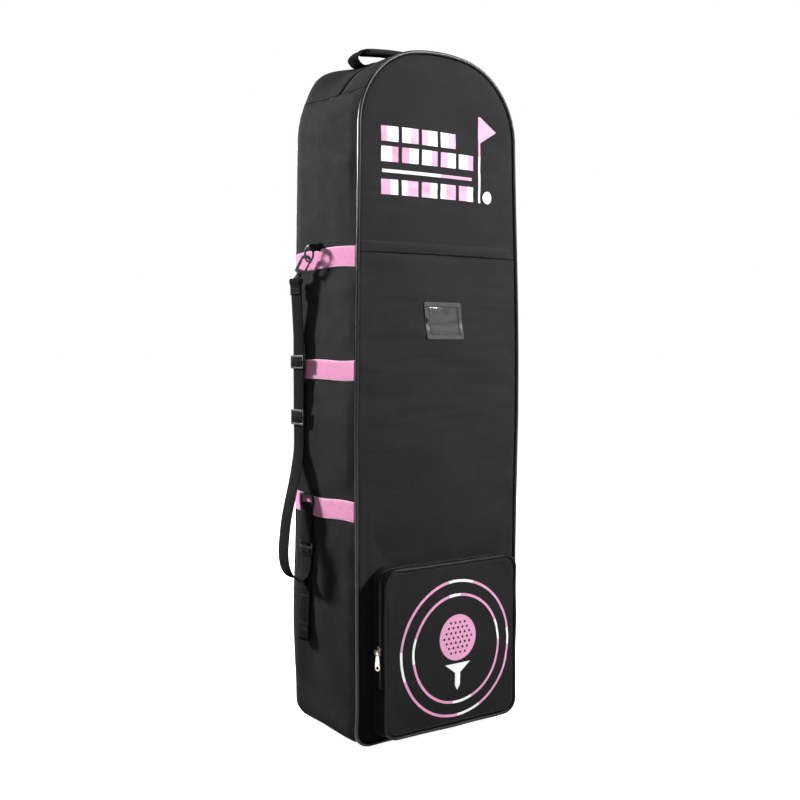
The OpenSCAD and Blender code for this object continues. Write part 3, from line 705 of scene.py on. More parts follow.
FRONT_PROFILE = wall_profile(FRONT_Y + 3, ZIP_Y - ZIP_GAP)
REAR_PROFILE = wall_profile(ZIP_Y + ZIP_GAP, BEND_Y, 44)
LEFT_PROFILE = wall_profile(FRONT_Y + 3, BEND_Y, 44)
TOP_FINE, RIGHT_FINE, LEFT_FINE, BOTTOM_FINE = (resample(r, 7) for r in (TOP, RIGHT, LEFT, BOTTOM))

left_full = fullness(LEFT_FINE, LEFT_PROFILE, 3.2, 3, BAND_Z)
left_gusset = wall("left_gusset", LEFT_FINE, LEFT_PROFILE, left_full, None, CHARCOAL, "fabric_charcoal",
                   ("left_gusset_rear", "left_gusset_front"))
HALVES = (("front", FRONT_PROFILE, "lid"), ("rear", REAR_PROFILE, "root"))
for side_name, run, seed in (("top", TOP_FINE, 11), ("right", RIGHT_FINE, 21), ("bottom", BOTTOM_FINE, 31)):
    low = side_name == "bottom"
    cloth, paint = (DARK, "fabric_dark") if low else (CHARCOAL, "fabric_charcoal")
    for half, profile, body in HALVES:
        lift = 0.0 if low else fullness(run, profile, 2.2, seed + (half == "rear"))
        wall(f"{side_name}_gusset_{half}_cloth", run, profile, lift, body, cloth, paint,
             (f"{side_name}_gusset_{half}",), wheel_room if low and half == "rear" else None)


# ---------------------------------------------------------------- flat sheets and what lies on them
def inside(points, loops):
    """Whether plane points are inside closed outlines, holes left out."""
    odd = np.zeros(len(points), bool)
    for loop in loops:
        for (x0, z0), (x1, z1) in zip(loop, np.roll(loop, -1, 0)):
            if z0 != z1:
                across = (z0 > points[:, 1]) != (z1 > points[:, 1])
                odd ^= across & (points[:, 0] < (x1 - x0) * (points[:, 1] - z0) / (z1 - z0) + x0)
    return odd


def gap_to(points, loop):
    """Distance from plane points to a closed outline."""
    best = np.full(len(points), 1e9)
    for p, v in zip(loop, np.roll(loop, -1, 0) - loop):
        t = np.clip(((points - p) @ v) / max(v @ v, 1e-9), 0, 1)
        best = np.minimum(best, np.linalg.norm(points - p - t[:, None] * v, axis=1))
    return best


def triangulate(loops, step, rows=()):
    """Plane points and triangles inside outlines, on a lattice, with straight rows kept as edges."""
    loops = [np.asarray(l, float) for l in loops]
    low, high = loops[0].min(0), loops[0].max(0)
    xs = np.arange(low[0] + step / 2, high[0], step)
    zs = np.arange(low[1] + step / 2, high[1], step * 0.866)
    grid = np.array([(x + (k % 2) * step / 2, z) for k, z in enumerate(zs) for x in xs])
    grid = grid[inside(grid, loops)]
    fixed = list(loops)
    edges, n = [], 0
    for loop in loops:
        edges += [(n + i, n + (i + 1) % len(loop)) for i in range(len(loop))]
        n += len(loop)
    for z in rows:
        x = np.arange(low[0] + 1, high[0], step)
        line = np.stack([x, np.full_like(x, z)], 1)
        line = line[inside(line, loops)]
        line = line[gap_to(line, loops[0]) > 1.2]
        edges += [(n + i, n + i + 1) for i in range(len(line) - 1)]
        fixed.append(line)
        n += len(line)
    if len(grid):
        near = np.full(len(grid), 1e9)
        for loop in loops:
            near = np.minimum(near, gap_to(grid, loop))
        for z in rows:
            near = np.minimum(near, np.abs(grid[:, 1] - z) * step / 3.4)
        fixed.append(grid[near > step * 0.45])
    points = np.concatenate(fixed)
    found = geometry.delaunay_2d_cdt([Vector(p) for p in points], edges, [], 1, 1e-4)
    p = np.array([v[:] for v in found[0]])
    faces = np.array([list(f) for f in found[2]])
    faces = faces[inside(p[faces].mean(1), loops)]
    return p, faces


def closed_sheet(p2, faces, front, back):
    """A solid between a front and a back surface over the same plane points."""
    used, f = np.unique(faces, return_inverse=True)
    f = f.reshape(-1, 3).tolist()
    m = len(used)
    verts = np.concatenate([np.stack([p2[used, 0], y[used], p2[used, 1]], 1) for y in (front, back)])
    once = {}
    for tri in f:
        for a, b in zip(tri, tri[1:] + tri[:1]):
            key = (min(a, b), max(a, b))
            once[key] = None if key in once else (a, b)
    rim = [[b, a, a + m, b + m] for a, b in filter(None, once.values())]
    all_faces = f + [[a + m, c + m, b + m] for a, b, c in f] + rim
    return verts, all_faces, np.concatenate([p2[used], p2[used]]), range(len(f), 2 * len(f))


def outline(run, inset):
    """The plane outline of a run, moved in."""
    return at(run, inset, 0)[:, [0, 2]]


def finished(obj):
    """An object's mesh with its modifiers, and that mesh's points in millimetres."""
    mesh = obj.evaluated_get(bpy.context.evaluated_depsgraph_get()).to_mesh()
    co = np.empty(len(mesh.vertices) * 3, np.float32)
    mesh.vertices.foreach_get("co", co)
    return mesh, co.reshape(-1, 3) / MM


def tree_of(*objects):
    """One search tree over finished pieces, in millimetres."""
    verts, polys, n = [], [], 0
    for obj in objects:
        mesh, points = finished(obj)
        verts.append(points)
        polys += [[i + n for i in p.vertices] for p in mesh.polygons]
        n += len(points)
    return BVHTree.FromPolygons(np.concatenate(verts).tolist(), polys)


def laid_on(tree, points, lift):
    """Depths at which plane points lie on the front of a surface."""
    out = np.empty(len(points))
    last = FRONT_Y
    for i, (x, z) in enumerate(points):
        hit = tree.ray_cast(Vector((x, -400, z)), Vector((0, 1, 0)))[0]
        last = hit.y if hit else last
        out[i] = last - lift
    return out


def dense(loop, step):
    """A closed outline with points at most step apart."""
    a = np.asarray(loop, float)
    out = []
    for p, q in zip(a, np.roll(a, -1, 0)):
        n = max(1, int(math.ceil(np.linalg.norm(q - p) / step)))
        out.append(p + (q - p) * (np.arange(n) / n)[:, None])
    return np.vstack(out)


def patch(tree, loops, lift, thick, step):
    """A thin solid with plane outlines that lies on a surface: points, faces and UVs."""
    p, faces = triangulate([dense(l, step) for l in loops], step)
    front = laid_on(tree, p, lift + thick)
    verts, all_faces, uv, _ = closed_sheet(p, faces, front, front + thick + lift * 0.8)
    return verts, all_faces, uv


def on_front(tree, points, lift):
    """Points of a row in a plane, laid on the front of a surface."""
    p = np.asarray(points, float)
    return np.stack([p[:, 0], laid_on(tree, p, lift), p[:, 1]], 1)


CLOTH = {
    "quality": 6, "mass": 0.25, "air_damping": 6, "tension_stiffness": 25, "compression_stiffness": 25,
    "shear_stiffness": 12, "bending_stiffness": 1.5, "vertex_group_mass": "pin", "use_pressure": True,
    "uniform_pressure_force": 4,
}
CLOTH_FRAMES = 20


def pinned_cloth(p, faces, y, pinned, slack):
    """A plane sheet as cloth under pressure, held where it is pinned, with some slack."""
    mesh = bpy.data.meshes.new("sheet")
    mesh.from_pydata((np.stack([p[:, 0], np.full(len(p), y), p[:, 1]], 1) * MM).tolist(), [], faces.tolist())
    obj = bpy.data.objects.new("sheet", mesh)
    bpy.context.scene.collection.objects.link(obj)
    if mesh.polygons[0].normal.y > 0:
        mesh.flip_normals()
    group = obj.vertex_groups.new(name="pin")
    group.add([int(i) for i in np.flatnonzero(pinned)], 1.0, "REPLACE")
    cloth = obj.modifiers.new("cloth", "CLOTH")
    for key, value in CLOTH.items():
        setattr(cloth.settings, key, value)
    cloth.settings.shrink_min = -slack
    cloth.settings.effector_weights.gravity = 0
    cloth.collision_settings.use_collision = False
    cloth.point_cache.frame_start, cloth.point_cache.frame_end = 1, CLOTH_FRAMES
    return obj


def inflate(jobs):
    """Sheets pinned at their edges and blown out. Gives how far each point stands out."""
    sheets = [pinned_cloth(*job) for job in jobs]
    for f in range(1, CLOTH_FRAMES + 1):
        bpy.context.scene.frame_set(f)
    out = [job[2] - finished(obj)[1][:, 1] for obj, job in zip(sheets, jobs)]
    for obj in sheets:
        mesh = obj.data
        bpy.data.objects.remove(obj)
        bpy.data.meshes.remove(mesh)
    bpy.context.scene.frame_set(1)
    return out


def rounded_run(half_w, z0, z1, r):
    """Closed stations round a rounded rectangle, from its lower right side anticlockwise."""
    cx, lo, hi = half_w - r, z0 + r, z1 - r

    def line(xa, za, xb, zb, nx, nz):
        n = int(math.hypot(xb - xa, zb - za) / 6) + 1
        return np.linspace((xa, za, nx, nz), (xb, zb, nx, nz), n)

    return chain(
        arc(cx, lo, r, -90, 0, 10), line(half_w, lo, half_w, hi, 1.0, 0.0), arc(cx, hi, r, 0, 90, 10),
        line(cx, z1, -cx, z1, 0.0, 1.0), arc(-cx, hi, r, 90, 180, 10),
        line(-half_w, hi, -half_w, lo, -1.0, 0.0), arc(-cx, lo, r, 180, 270, 10),
        line(-cx, z0, cx, z0, 0.0, -1.0),
    )[:-1]


PANEL_LINE = outline(LOOP, 3.9)
POCKET_RUN = rounded_run(POCKET_HALF_W, POCKET_Z0, POCKET_Z1, POCKET_R)
POCKET_LINE = outline(POCKET_RUN, 4.2)
HEM_Z = PANEL_SEAM_Z + 20
SEAM_ROWS = [PANEL_SEAM_Z + dz for dz in (-6, -2.5, 0, 2.5, 17, 20, 23)]

panel_p, panel_f = triangulate([PANEL_LINE], 8, SEAM_ROWS)
pocket_p, pocket_f = triangulate([POCKET_LINE], 8)
panel_gap, pocket_gap = gap_to(panel_p, PANEL_LINE), gap_to(pocket_p, POCKET_LINE)
behind = (panel_p[:, 1] < POCKET_Z1 - 12) & (np.abs(panel_p[:, 0]) < POCKET_HALF_W - 8)
panel_out, pocket_out = inflate([
    (panel_p, panel_f, FRONT_Y, (panel_gap < 0.5) | behind, 0.012),
    (pocket_p, pocket_f, POCKET_FRONT_Y, pocket_gap < 0.5, 0.008),
])


def plane_ripple(x, z, *settings):
    """The ripple at plane points."""
    return ripple(np.stack([x, 0 * x, z], 1), *settings)


def panel_depth(p, gap, out):
    """Depth of the padded front: its bulge, the lapped seam of its two sheets, and its creases."""
    x, z = p.T
    out = out / np.percentile(out, 99) * PANEL_BULGE
    lap = 1.4 * smoothstep(z, PANEL_SEAM_Z - 0.5, PANEL_SEAM_Z + 1.5)
    lap = lap * (1 - 0.7 * smoothstep(z, HEM_Z - 6, HEM_Z + 3))
    dip = bell(z - HEM_Z, 2.2) + 1.2 * bell(z - PANEL_SEAM_Z + 2, 5)
    creases = plane_ripple(x, z, 130, 5, (1.2, 1, 0.9)) * (1.0 + 0.6 * (z < PANEL_SEAM_Z))
    beside_pocket = 1.5 * bell(np.abs(x) - 168, 16) * smoothstep(-z, -350, -250)
    pulls = beside_pocket * plane_ripple(x, z + 0.8 * x, 60, 6)
    return FRONT_Y - out - smoothstep(gap, 0, 26) * (1.5 * lap - 0.5 * dip + creases - pulls)


def pocket_depth(p, gap, out):
    """Depth of the padded pocket front: its bulge and its creases."""
    out = out / np.percentile(out, 99) * POCKET_BULGE
    return POCKET_FRONT_Y - 0.6 - out - smoothstep(gap, 0, 30) * 0.6 * plane_ripple(*p.T, 90, 8)


def back_depth(p):
    """Depth of the back: round at its edge, and full above the wheels."""
    x, z = p.T
    from_edge = gap_to(p, LOOP[:, :2])
    y = BEND_Y + np.sqrt(np.maximum(REAR_R**2 - np.clip(REAR_R - from_edge, 0, REAR_R) ** 2, 0))
    full = 3.4 + 1.3 * plane_ripple(x, z, 300, 41) + 0.9 * plane_ripple(x, z, 80, 42, (1.6, 1, 0.7))
    return y + smoothstep(from_edge, 24, 110) * smoothstep(z, 120, 220) * full


panel_front = panel_depth(panel_p, panel_gap, panel_out)
pocket_front_y = pocket_depth(pocket_p, pocket_gap, pocket_out)


def cushion(name, p, faces, front, thick, material, body, slot, replaces):
    """A padded sheet behind its front surface."""
    verts, all_faces, uv, back = closed_sheet(p, faces, front, front + thick)
    obj = piece(name, verts, all_faces, material, body, uv, slot, replaces, LINING, back)
    modify(obj, "SUBSURF", levels=1, render_levels=1)
    return obj


mid = panel_p[panel_f].mean(1)[:, 1]
hood_sheet = cushion("hood_sheet", panel_p, panel_f[mid > PANEL_SEAM_Z], panel_front, 4.5, CHARCOAL, "lid",
                     "fabric_charcoal", ("hood_panel",))
front_sheet = cushion("front_sheet", panel_p, panel_f[mid < PANEL_SEAM_Z], panel_front, 4.5, CHARCOAL, "lid",
                      "fabric_dark", ("front_panel",))
pocket_sheet = cushion("pocket_sheet", pocket_p, pocket_f, pocket_front_y, 3.0, POCKET_CLOTH, "pocket_door",
                       "fabric_dark", ("pocket_front",))
panel_tree, pocket_tree = tree_of(hood_sheet, front_sheet), tree_of(pocket_sheet)

# The back, one sheet inside the rear piping
back_p, back_f = triangulate([outline(LOOP, 17.8)], 11)
back_y = back_depth(back_p)
centre = np.stack([back_p[:, 0], back_y, back_p[:, 1]], 1)[back_f].mean(1)
verts, faces, uv, lining = closed_sheet(back_p, back_f[~wheel_room(centre)], back_y, back_y - WALL)
piece("back_sheet", verts, faces, CHARCOAL, "root", uv, "fabric_dark", ("back_panel",), LINING, lining)


# ---------------------------------------------------------------- pipings, zippers and seams
def add(name, parts, material, body, slot=None, replaces=(), auto=None, soft=False):
    """One piece made of several parts."""
    verts, faces, uv = join(parts)
    return piece(name, verts, faces, material, body, uv, slot, replaces, auto=auto, soft=soft)


add("front_piping_cord", [tube(at(LOOP, 0.5, FRONT_Y - 0.6), PIPING_R, closed=True)], PIPING, "lid", "piping",
    ("front_piping",), soft=True)
rear_out = (REAR_R + REAR_PIPING_R) * math.cos(math.radians(45))
add("rear_piping_cord", [tube(at(OPEN, REAR_R - rear_out, BEND_Y + rear_out), REAR_PIPING_R)], PIPING, "root",
    "piping", ("rear_piping",), soft=True)

# A tape that binds the seam of hood and front panel inside
on_seam = np.flatnonzero(np.abs(panel_p[:, 1] - PANEL_SEAM_Z) < 0.5)
on_seam = on_seam[np.argsort(panel_p[on_seam, 0])]
tape_x = np.linspace(-186, 186, 63)
tape_y = np.interp(tape_x, panel_p[on_seam, 0], panel_front[on_seam]) + 4.8
tape_path = np.stack([tape_x, tape_y, np.full_like(tape_x, PANEL_SEAM_Z)], 1)
tape = sweep(tape_path, *frames_along(tape_path, UPWARD), flat_section(16, 1.6))
add("panel_seam_tape", [tape], TAPE, "lid", soft=True)

# Topstitching along the hem and the seam of the two front sheets
hem_x = np.arange(-181, 182, 6.0)
rows = [on_front(panel_tree, np.stack([hem_x, np.full_like(hem_x, z)], 1), 0.1)
        for z in (HEM_Z, PANEL_SEAM_Z + 3.2)]
add("panel_stitching", [stitches(row, FORWARD) for row in rows], THREAD, "lid")


def gusset_seam(name, sign, profile, body):
    """The seam of side and top fabric: a fold that stands out, and a row of stitches below it."""
    out = np.array([sign * math.cos(math.radians(SEAM_ANGLE)), math.sin(math.radians(SEAM_ANGLE))])
    x0, z0 = SHOULDER_X + SHOULDER_R * abs(out[0]), SHOULDER_Z + SHOULDER_R * out[1]
    base = wall_grid(np.array([[sign * x0, z0, *out]]), profile, 0.6)[0]
    u, v = frames_along(base, (out[0], 0, out[1]))
    fold = [[-0.9, 3.4], [0.5, 3.2], [0.9, 0.4], [0.7, -0.5], [-0.9, -0.6]]
    add(name, [sweep(base, u, v, fold)], CHARCOAL, body, "fabric_charcoal", soft=True)
    below = base - 4.2 * np.array([-out[1] * sign, 0, abs(out[0])]) + u * 0.1
    add(name + "_stitching", [stitches(below, u)], THREAD, body, soft=True)


for sign, side_name in ((-1, "left"), (1, "right")):
    for half, profile, body in HALVES:
        gusset_seam(f"{side_name}_seam_{half}", sign, profile, body)


def zipper(name, run, y, way, replaces, body, tape=16.0, inset=WALL + 0.1, coil_at=2.0):
    """Half a zipper: its tape from the middle line outwards, and a spiral of teeth on the edge."""
    prof = wall_profile(*sorted((y + way * 0.9, y + way * tape)), step=3)
    verts, faces, _ = shell(wall_grid(run, prof, -inset), wall_grid(run, prof, -inset - 0.7))
    uv = grid_uv(lengths(run[:, :2]), lengths(prof[:, :2]))
    piece(name + "_tape", verts, faces, TAPE, body, uv, "zipper", replaces)
    fine = resample(run, 1.3)
    turn = np.where(np.arange(len(fine)) % 2, -1.0, 1.0)
    path = at(fine, coil_at + 0.9 + 0.75 * turn, y + way * (1.55 - 1.1 * turn))
    add(name + "_coil", [tube(path, 0.55, n=5)], COIL, body, "zipper", soft=True)


ZIP_FINE = resample(ZIP_RUN, 8)
zipper("rear_zip", ZIP_FINE, ZIP_Y, 1, ("rear_zip_half",), "root")
zipper("front_zip", ZIP_FINE, ZIP_Y, -1, ("front_zip_half",), "lid")

# ---------------------------------------------------------------- pink bands round the left side
BAND_PROFILE = wall_profile(FRONT_Y + 3.2, BEND_Y, 40, step=4)
BAND_SAG = {BAND_Z[0]: (4.0, 0.6), BAND_Z[1]: (-0.6, -1.2), BAND_Z[2]: (-1.6, 2.0)}


def waved(points, z):
    """Points of a band, with the bow and the wave that sewing gave it."""
    bow, wave = BAND_SAG[z]
    p = np.array(points, float)
    t = (p[..., 1] - FRONT_Y) / (BEND_Y - FRONT_Y)
    p[..., 2] += bow * np.sin(math.pi * t) + wave * np.sin(2.3 * math.pi * t)
    return p


def band_parts(z):
    """One band: webbing with thin rounded selvedges."""
    w = np.array([-19, -18.6, -17.6, -12, -6, 0, 6, 12, 17.6, 18.6, 19.0])
    run = np.stack([-half_w(z + w), z + w, -np.ones(11), np.zeros(11)], 1)
    lift = (2.15 - 1.3 * (np.abs(w) > 18.9) - 0.35 * (np.abs(w) > 18.5))[:, None]
    outer, inner = (waved(wall_grid(run, BAND_PROFILE, lifted), z) for lifted in (lift, 0.1))
    verts, faces, _ = shell(outer, inner)
    return verts, faces, grid_uv(w, lengths(BAND_PROFILE[:, :2]))[:, ::-1]


def band_stitches(z, dz):
    """A row of stitches along a band, dz above its middle."""
    station = np.array([[-half_w(z + dz), z + dz, -1.0, 0.0]])
    return stitches(waved(wall_grid(station, BAND_PROFILE, 2.2)[0], z), LEFTWARD, 5.0, 3.4, 0.3)


side_bands = add("side_bands", [band_parts(z) for z in BAND_Z], PINK_WEB, None, "pink_webbing",
                 ("rear_bands", "front_bands"), soft=True)
rows = [band_stitches(z, dz) for z in BAND_Z for dz in (-16.4, 16.4)]
side_band_stitching = add("side_band_stitching", rows, PINK_THREAD, None, soft=True)
FOLD_FROM, FOLD_TO = (-0.192, -0.010, 0.6), (-0.192, -0.070, 0.6)
for obj in (left_gusset, side_bands, side_band_stitching):
    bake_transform(obj)
    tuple(FOLD_FROM)
    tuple(FOLD_TO)


# ---------------------------------------------------------------- prints and the card pocket
INKS = {"white": (WHITE_INK, "print_white"), "pink": (PINK_INK, "print_pink")}


def print_on(tree, name, shapes, body, step):
    """Printed shapes, given for each ink as groups of outlines. The white piece stands for the node."""
    for ink, (material, slot) in INKS.items():
        parts = [patch(tree, group, 0.3, 0.35, step) for group in shapes[ink]]
        add(f"{name}_{ink}", parts, material, body, slot, (name,) if ink == "white" else (), 40)


def block(x, z, w, h):
    return [[x, z], [x + w, z], [x + w, z + h], [x, z + h]]


def ring_part(r0, r1, a0, a1):
    """The outline of a part of a ring on the pocket, between two radii and two angles."""
    a = np.radians(np.linspace(a0, a1, max(3, int(abs(a1 - a0) / 4))))
    way = np.stack([np.cos(a), np.sin(a)], 1)
    return np.vstack([r0 * way, r1 * way[::-1]]) + (RING_X, RING_Z)


# Rows of tiles in two inks, with a flag and a ball beside them
TILE_W, TILE_H, TILE_PITCH = 36, 28, 44
tiles = {"white": [], "pink": []}
for row, (z0, count) in enumerate(((1122, 4), (1085, 5), (1025, 5))):
    for i in range(count):
        x0 = -140 + TILE_PITCH * i
        split = 12 + (7 * i + 11 * row) % 14
        first, second = ("white", "pink") if (i + row) % 2 else ("pink", "white")
        tiles[first].append([block(x0, z0, split, TILE_H)])
        tiles[second].append([block(x0 + split, z0, TILE_W - split, TILE_H)])
tiles["white"] += [[block(-138, 1065, 130, 6)], [block(86, 1024, 5, 90)], [disc(110, 1036, 12)]]
tiles["pink"] += [[block(-8, 1065, 76, 6)], [block(86, 1114, 5, 76)], [[[91, 1190], [91, 1140], [134, 1165]]]]
print_on(panel_tree, "hood_print", tiles, "lid", 5)

# Two rings in two inks round a ball on a tee
RING_X, RING_Z = 6, 168
BALL_Z, BALL_R, DIMPLE_X, DIMPLE_Z = RING_Z + 22, 44, 11, 9.6
badge = {"white": [], "pink": []}
for r0, r1, turn in ((127.5, 132.5, 10), (101, 106, 100)):
    cuts = [turn + a for a in (0, 62, 88, 165, 190, 262, 285, 345, 360)]
    for k, (a0, a1) in enumerate(zip(cuts, cuts[1:])):
        badge["white" if k % 2 else "pink"].append([ring_part(r0, r1, a0, a1)])
spots = [(DIMPLE_X * (i + 0.5 * (j % 2)), DIMPLE_Z * j) for j in range(-3, 4) for i in range(-3, 4)]
dimples = [disc(RING_X + a, BALL_Z + b, 2.6, 12) for a, b in spots if math.hypot(a, b) < BALL_R - 6]
tee = [[-30, -28], [30, -28], [6, -46], [6, -70], [0, -80], [-6, -70], [-6, -46]]
badge["white"].append([[[RING_X + a, RING_Z + b] for a, b in tee]])
badge["pink"].append([disc(RING_X, BALL_Z, BALL_R, 56), *dimples])
print_on(pocket_tree, "pocket_print", badge, "pocket_door", 6)

ID_Z, ID_SKEW, THUMB_R = 794, 0.12, 5.5


def card(wide, tall, r):
    """A rounded outline round the middle of the card pocket, from its lower right corner."""
    x, z = wide - r, tall - r
    corners = ((x, -z, -90), (x, z, 0), (-x, z, 90), (-x, -z, 180))
    return np.vstack([arc(cx, ID_Z + cz, r, a, a + 90, 22.5)[:, :2] for cx, cz, a in corners])


def skewed(p):
    """An outline of the card pocket, as the fabric pulls it out of square."""
    return np.stack([p[:, 0] + (ID_Z - p[:, 1]) * ID_SKEW, p[:, 1]], 1)


square, window = card(45, 35, 4), skewed(card(37, 27, 2))
thumb = arc(-45, ID_Z, THUMB_R, 90, -90, 22.5)[:, :2]
border = [skewed(np.vstack([square[:15], thumb, square[15:]])), window]
add("id_border", [patch(panel_tree, border, 0.3, 1.6, 4)], VINYL, "lid", "id_vinyl", ("id_frame",), auto=40)
add("id_lining", [patch(panel_tree, [window], 0.2, 0.5, 5)], CARD, "lid", "id_vinyl")
film = patch(panel_tree, [skewed(card(36.8, 26.8, 2))], 1.0, 0.3, 5)
add("id_film", [film], FILM, "lid", "id_clear", ("id_window",))
rims = [dense(skewed(card(wide, tall, 3)), 4) for wide, tall in ((42.3, 32.3), (38.8, 28.8))]
rims = [on_front(panel_tree, np.vstack([rim, rim[:1]]), 2.0) for rim in rims]
add("id_stitching", [stitches(rim, FORWARD, 3.6, 2.4, 0.3) for rim in rims], THREAD, "lid")


# ---------------------------------------------------------------- the pocket's walls
start = int(np.argmax((POCKET_RUN[:, 1] > POCKET_LOW_Z) & (POCKET_RUN[:, 0] > 0)))
POCKET_ROUND = np.roll(POCKET_RUN, -start, 0)
last = int(np.flatnonzero(POCKET_ROUND[:, 1] > POCKET_LOW_Z)[-1])
UPPER = resample(POCKET_ROUND[: last + 1], 6)
LOWER = resample(np.vstack([POCKET_ROUND[last:], POCKET_ROUND[:1]]), 6)
BACK_WALL = wall_profile(POCKET_ZIP_Y + 3.4, POCKET_BACK_Y + 4, step=3)
FRONT_WALL = wall_profile(POCKET_FRONT_Y + 1.5, POCKET_ZIP_Y - 3.4, step=3)
WHOLE_WALL = wall_profile(POCKET_FRONT_Y + 1.5, POCKET_BACK_Y + 4, step=3)


def pocket_wall(name, run, profile, body, puff, seed, replaces=()):
    """A wall of the pocket. The one on no body is flat at its ends, where the slider passes."""
    s, t = lengths(run[:, :2]), lengths(profile[:, :2])
    ends = 1.0 if body else free(s, 40, 9)[:, None]
    p = wall_grid(run, profile, 0.0)
    lift = ends * free(t, 7) * (puff + 0.9 * ripple(p, 46, seed) * min(1, puff + 0.3))
    return wall(name, run, profile, lift, body, POCKET_CLOTH, "fabric_dark", replaces, thick=2.4)


pocket_wall("pocket_wall_rear", UPPER, BACK_WALL, "lid", 0.7, 61, ("pocket_gusset_rear",))
pocket_wall("pocket_wall_front", UPPER, FRONT_WALL, "pocket_door", 0.3, 62, ("pocket_gusset_front",))
low_wall = pocket_wall("pocket_wall_low", LOWER, WHOLE_WALL, None, 1.6, 63)
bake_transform(low_wall)
zipper("pocket_rear_zip", UPPER, POCKET_ZIP_Y, 1, ("pocket_zip_rear",), "lid", 5.5, 1.6, 0.2)
zipper("pocket_front_zip", UPPER, POCKET_ZIP_Y, -1, ("pocket_zip_front",), "pocket_door", 5.5, 1.6, 0.2)
wave = 1.3 * ripple(at(POCKET_RUN, 0, 0), 110, 81)
piping = tube(at(POCKET_RUN, 1.2 - wave, POCKET_FRONT_Y - 0.9), 3.2, closed=True)
add("pocket_piping_cord", [piping], POCKET_PIPING, "pocket_door", "piping", ("pocket_piping",))
rim = outline(POCKET_RUN, 8.5)
rim = on_front(pocket_tree, np.vstack([rim, rim[:1]]), 0.1)
add("pocket_stitching", [stitches(rim, FORWARD)], THREAD, "pocket_door")


# ---------------------------------------------------------------- webbing, straps and the handle
def curve(points, step):
    """A smooth line through points."""
    p = np.asarray(points, float)
    q = np.vstack([2 * p[0] - p[1], p, 2 * p[-1] - p[-2]])
    out = []
    for i in range(len(p) - 1):
        a, b, c, d = q[i : i + 4]
        n = max(2, int(np.linalg.norm(c - b) / step))
        for t in np.arange(n) / n:
            out.append(0.5 * (2 * b + (c - a) * t + (2 * a - 5 * b + 4 * c - d) * t**2
                              + (3 * b - a - 3 * c + d) * t**3))
    out.append(p[-1])
    return np.array(out)


def strap(path, across, width, thick):
    """Flat webbing along a path, with its width along across."""
    u, v = frames_along(path, across)
    verts, faces, uv = sweep(path, u, v, flat_section(width, thick))
    return verts, faces, uv * [1, WEBBING_W / width]


def ribbon(y, points, width, thick, step=2):
    """Webbing bent in a plane at a depth, through points [x, z]."""
    return strap(curve([(x, y, z) for x, z in points], step), ACROSS, width, thick)


def row_of(a, b, out, pitch=3.4, length=2.4, r=0.34):
    """A straight row of stitches from a to b."""
    return stitches(np.linspace(a, b, 8), out, pitch, length, r)


STRAP_ROUTE = [
    (-206, 62, 869.5), (-206, 61, 850), (-204, 60, 805), (-202, 60, 765), (-202, 60, 715), (-202, 60, 660),
    (-202, 60, 607), (-202, 60, 548), (-206, 61, 515), (-212, 62, 482), (-221, 63, 444), (-229, 64, 406),
    (-234, 64, 368), (-236, 63, 338), (-233, 61, 313), (-224, 57, 297), (-212, 51, 292), (-203, 44, 302),
    (-200.5, 38, 319), (-200, 36, 339),
]
strap_path = curve(STRAP_ROUTE, 4)
strap_obj = add("shoulder_strap_webbing", [strap(strap_path, ACROSS, WEBBING_W, 2.0)], BLACK_WEB, "root",
                "black_webbing", ("shoulder_strap",))

fold = ribbon(62, [(-207.9, 846), (-207.9, 862), (-209.9, 870), (-209.6, 876), (-206, 878.2), (-202.4, 876),
                   (-202.2, 870), (-204.2, 862), (-203.7, 846)], 37, 1.5)
strap_fold = add("strap_fold", [fold], BLACK_WEB, "root", "black_webbing")
rows = [row_of((-208.8, 45, z), (-208.8, 79, z), LEFTWARD) for z in (849, 858)]
fold_thread = add("strap_fold_stitching", rows, THREAD, "root")
wrap = ribbon(36, [(-200, 333), (-201.6, 340), (-203.3, 347), (-203.0, 353), (-200, 355.6), (-197.0, 353),
                   (-196.8, 347), (-198, 340)], 36.5, 1.3)
end_wrap = add("strap_end_wrap", [wrap], BLACK_WEB, "root", "black_webbing")

float(lengths(strap_path)[-1]) * MM


def keeper_wrap(name, z, h, body):
    """The webbing round the two bars of a slider frame on the strap."""
    wraps = []
    for way in (-1, 1):
        bar_z = z + way * h / 4
        points = [(-203.2, bar_z + way * 7), (-205.6, bar_z + way), (-207.3, bar_z - way * 4), (-207.4, z)]
        wraps.append(ribbon(60, points, 37.4, 1.2))
    add(name, wraps, BLACK_WEB, body, "black_webbing")


keeper_wrap("keeper_webbing", 715, 26, "strap_keeper")
keeper_wrap("slider_webbing", 607, 30, "strap_slider")

front_ply = ribbon(36, [(-202.2, 362), (-203.0, 378), (-202.6, 400), (-202.2, 430), (-203.3, 438),
                        (-202.4, 441.6), (-199.2, 442.3), (-196.3, 441), (-196.4, 434), (-198.2, 420),
                        (-198.2, 380), (-198.0, 364)], 37, 1.5, 3)
add("adjuster_webbing", [front_ply], BLACK_WEB, "root", "black_webbing", ("adjuster_strap",))
rows = [row_of((-204, 20, z), (-204, 52, z), LEFTWARD) for z in (418, 424)]
add("adjuster_stitching", rows, THREAD, "root")
tab = ribbon(58, [(-194.6, 426), (-195.8, 434), (-197.2, 441), (-197.6, 447), (-196.8, 451.5), (-194.6, 455)],
             15, 1.4)
add("lower_ring_loop", [tab], PINK_WEB, "root", "pink_webbing", ("lower_ring_tab",))

# The loose end of the strap lies on the side fabric
side_tree = tree_of(left_gusset)


def side_x(y, z, reach):
    """How far left the side fabric stands over a width at a height."""
    hits = [side_tree.ray_cast(Vector((-400, y + d, z)), Vector((1, 0, 0)))[0] for d in (-reach, 0, reach)]
    return min(h.x for h in hits if h)


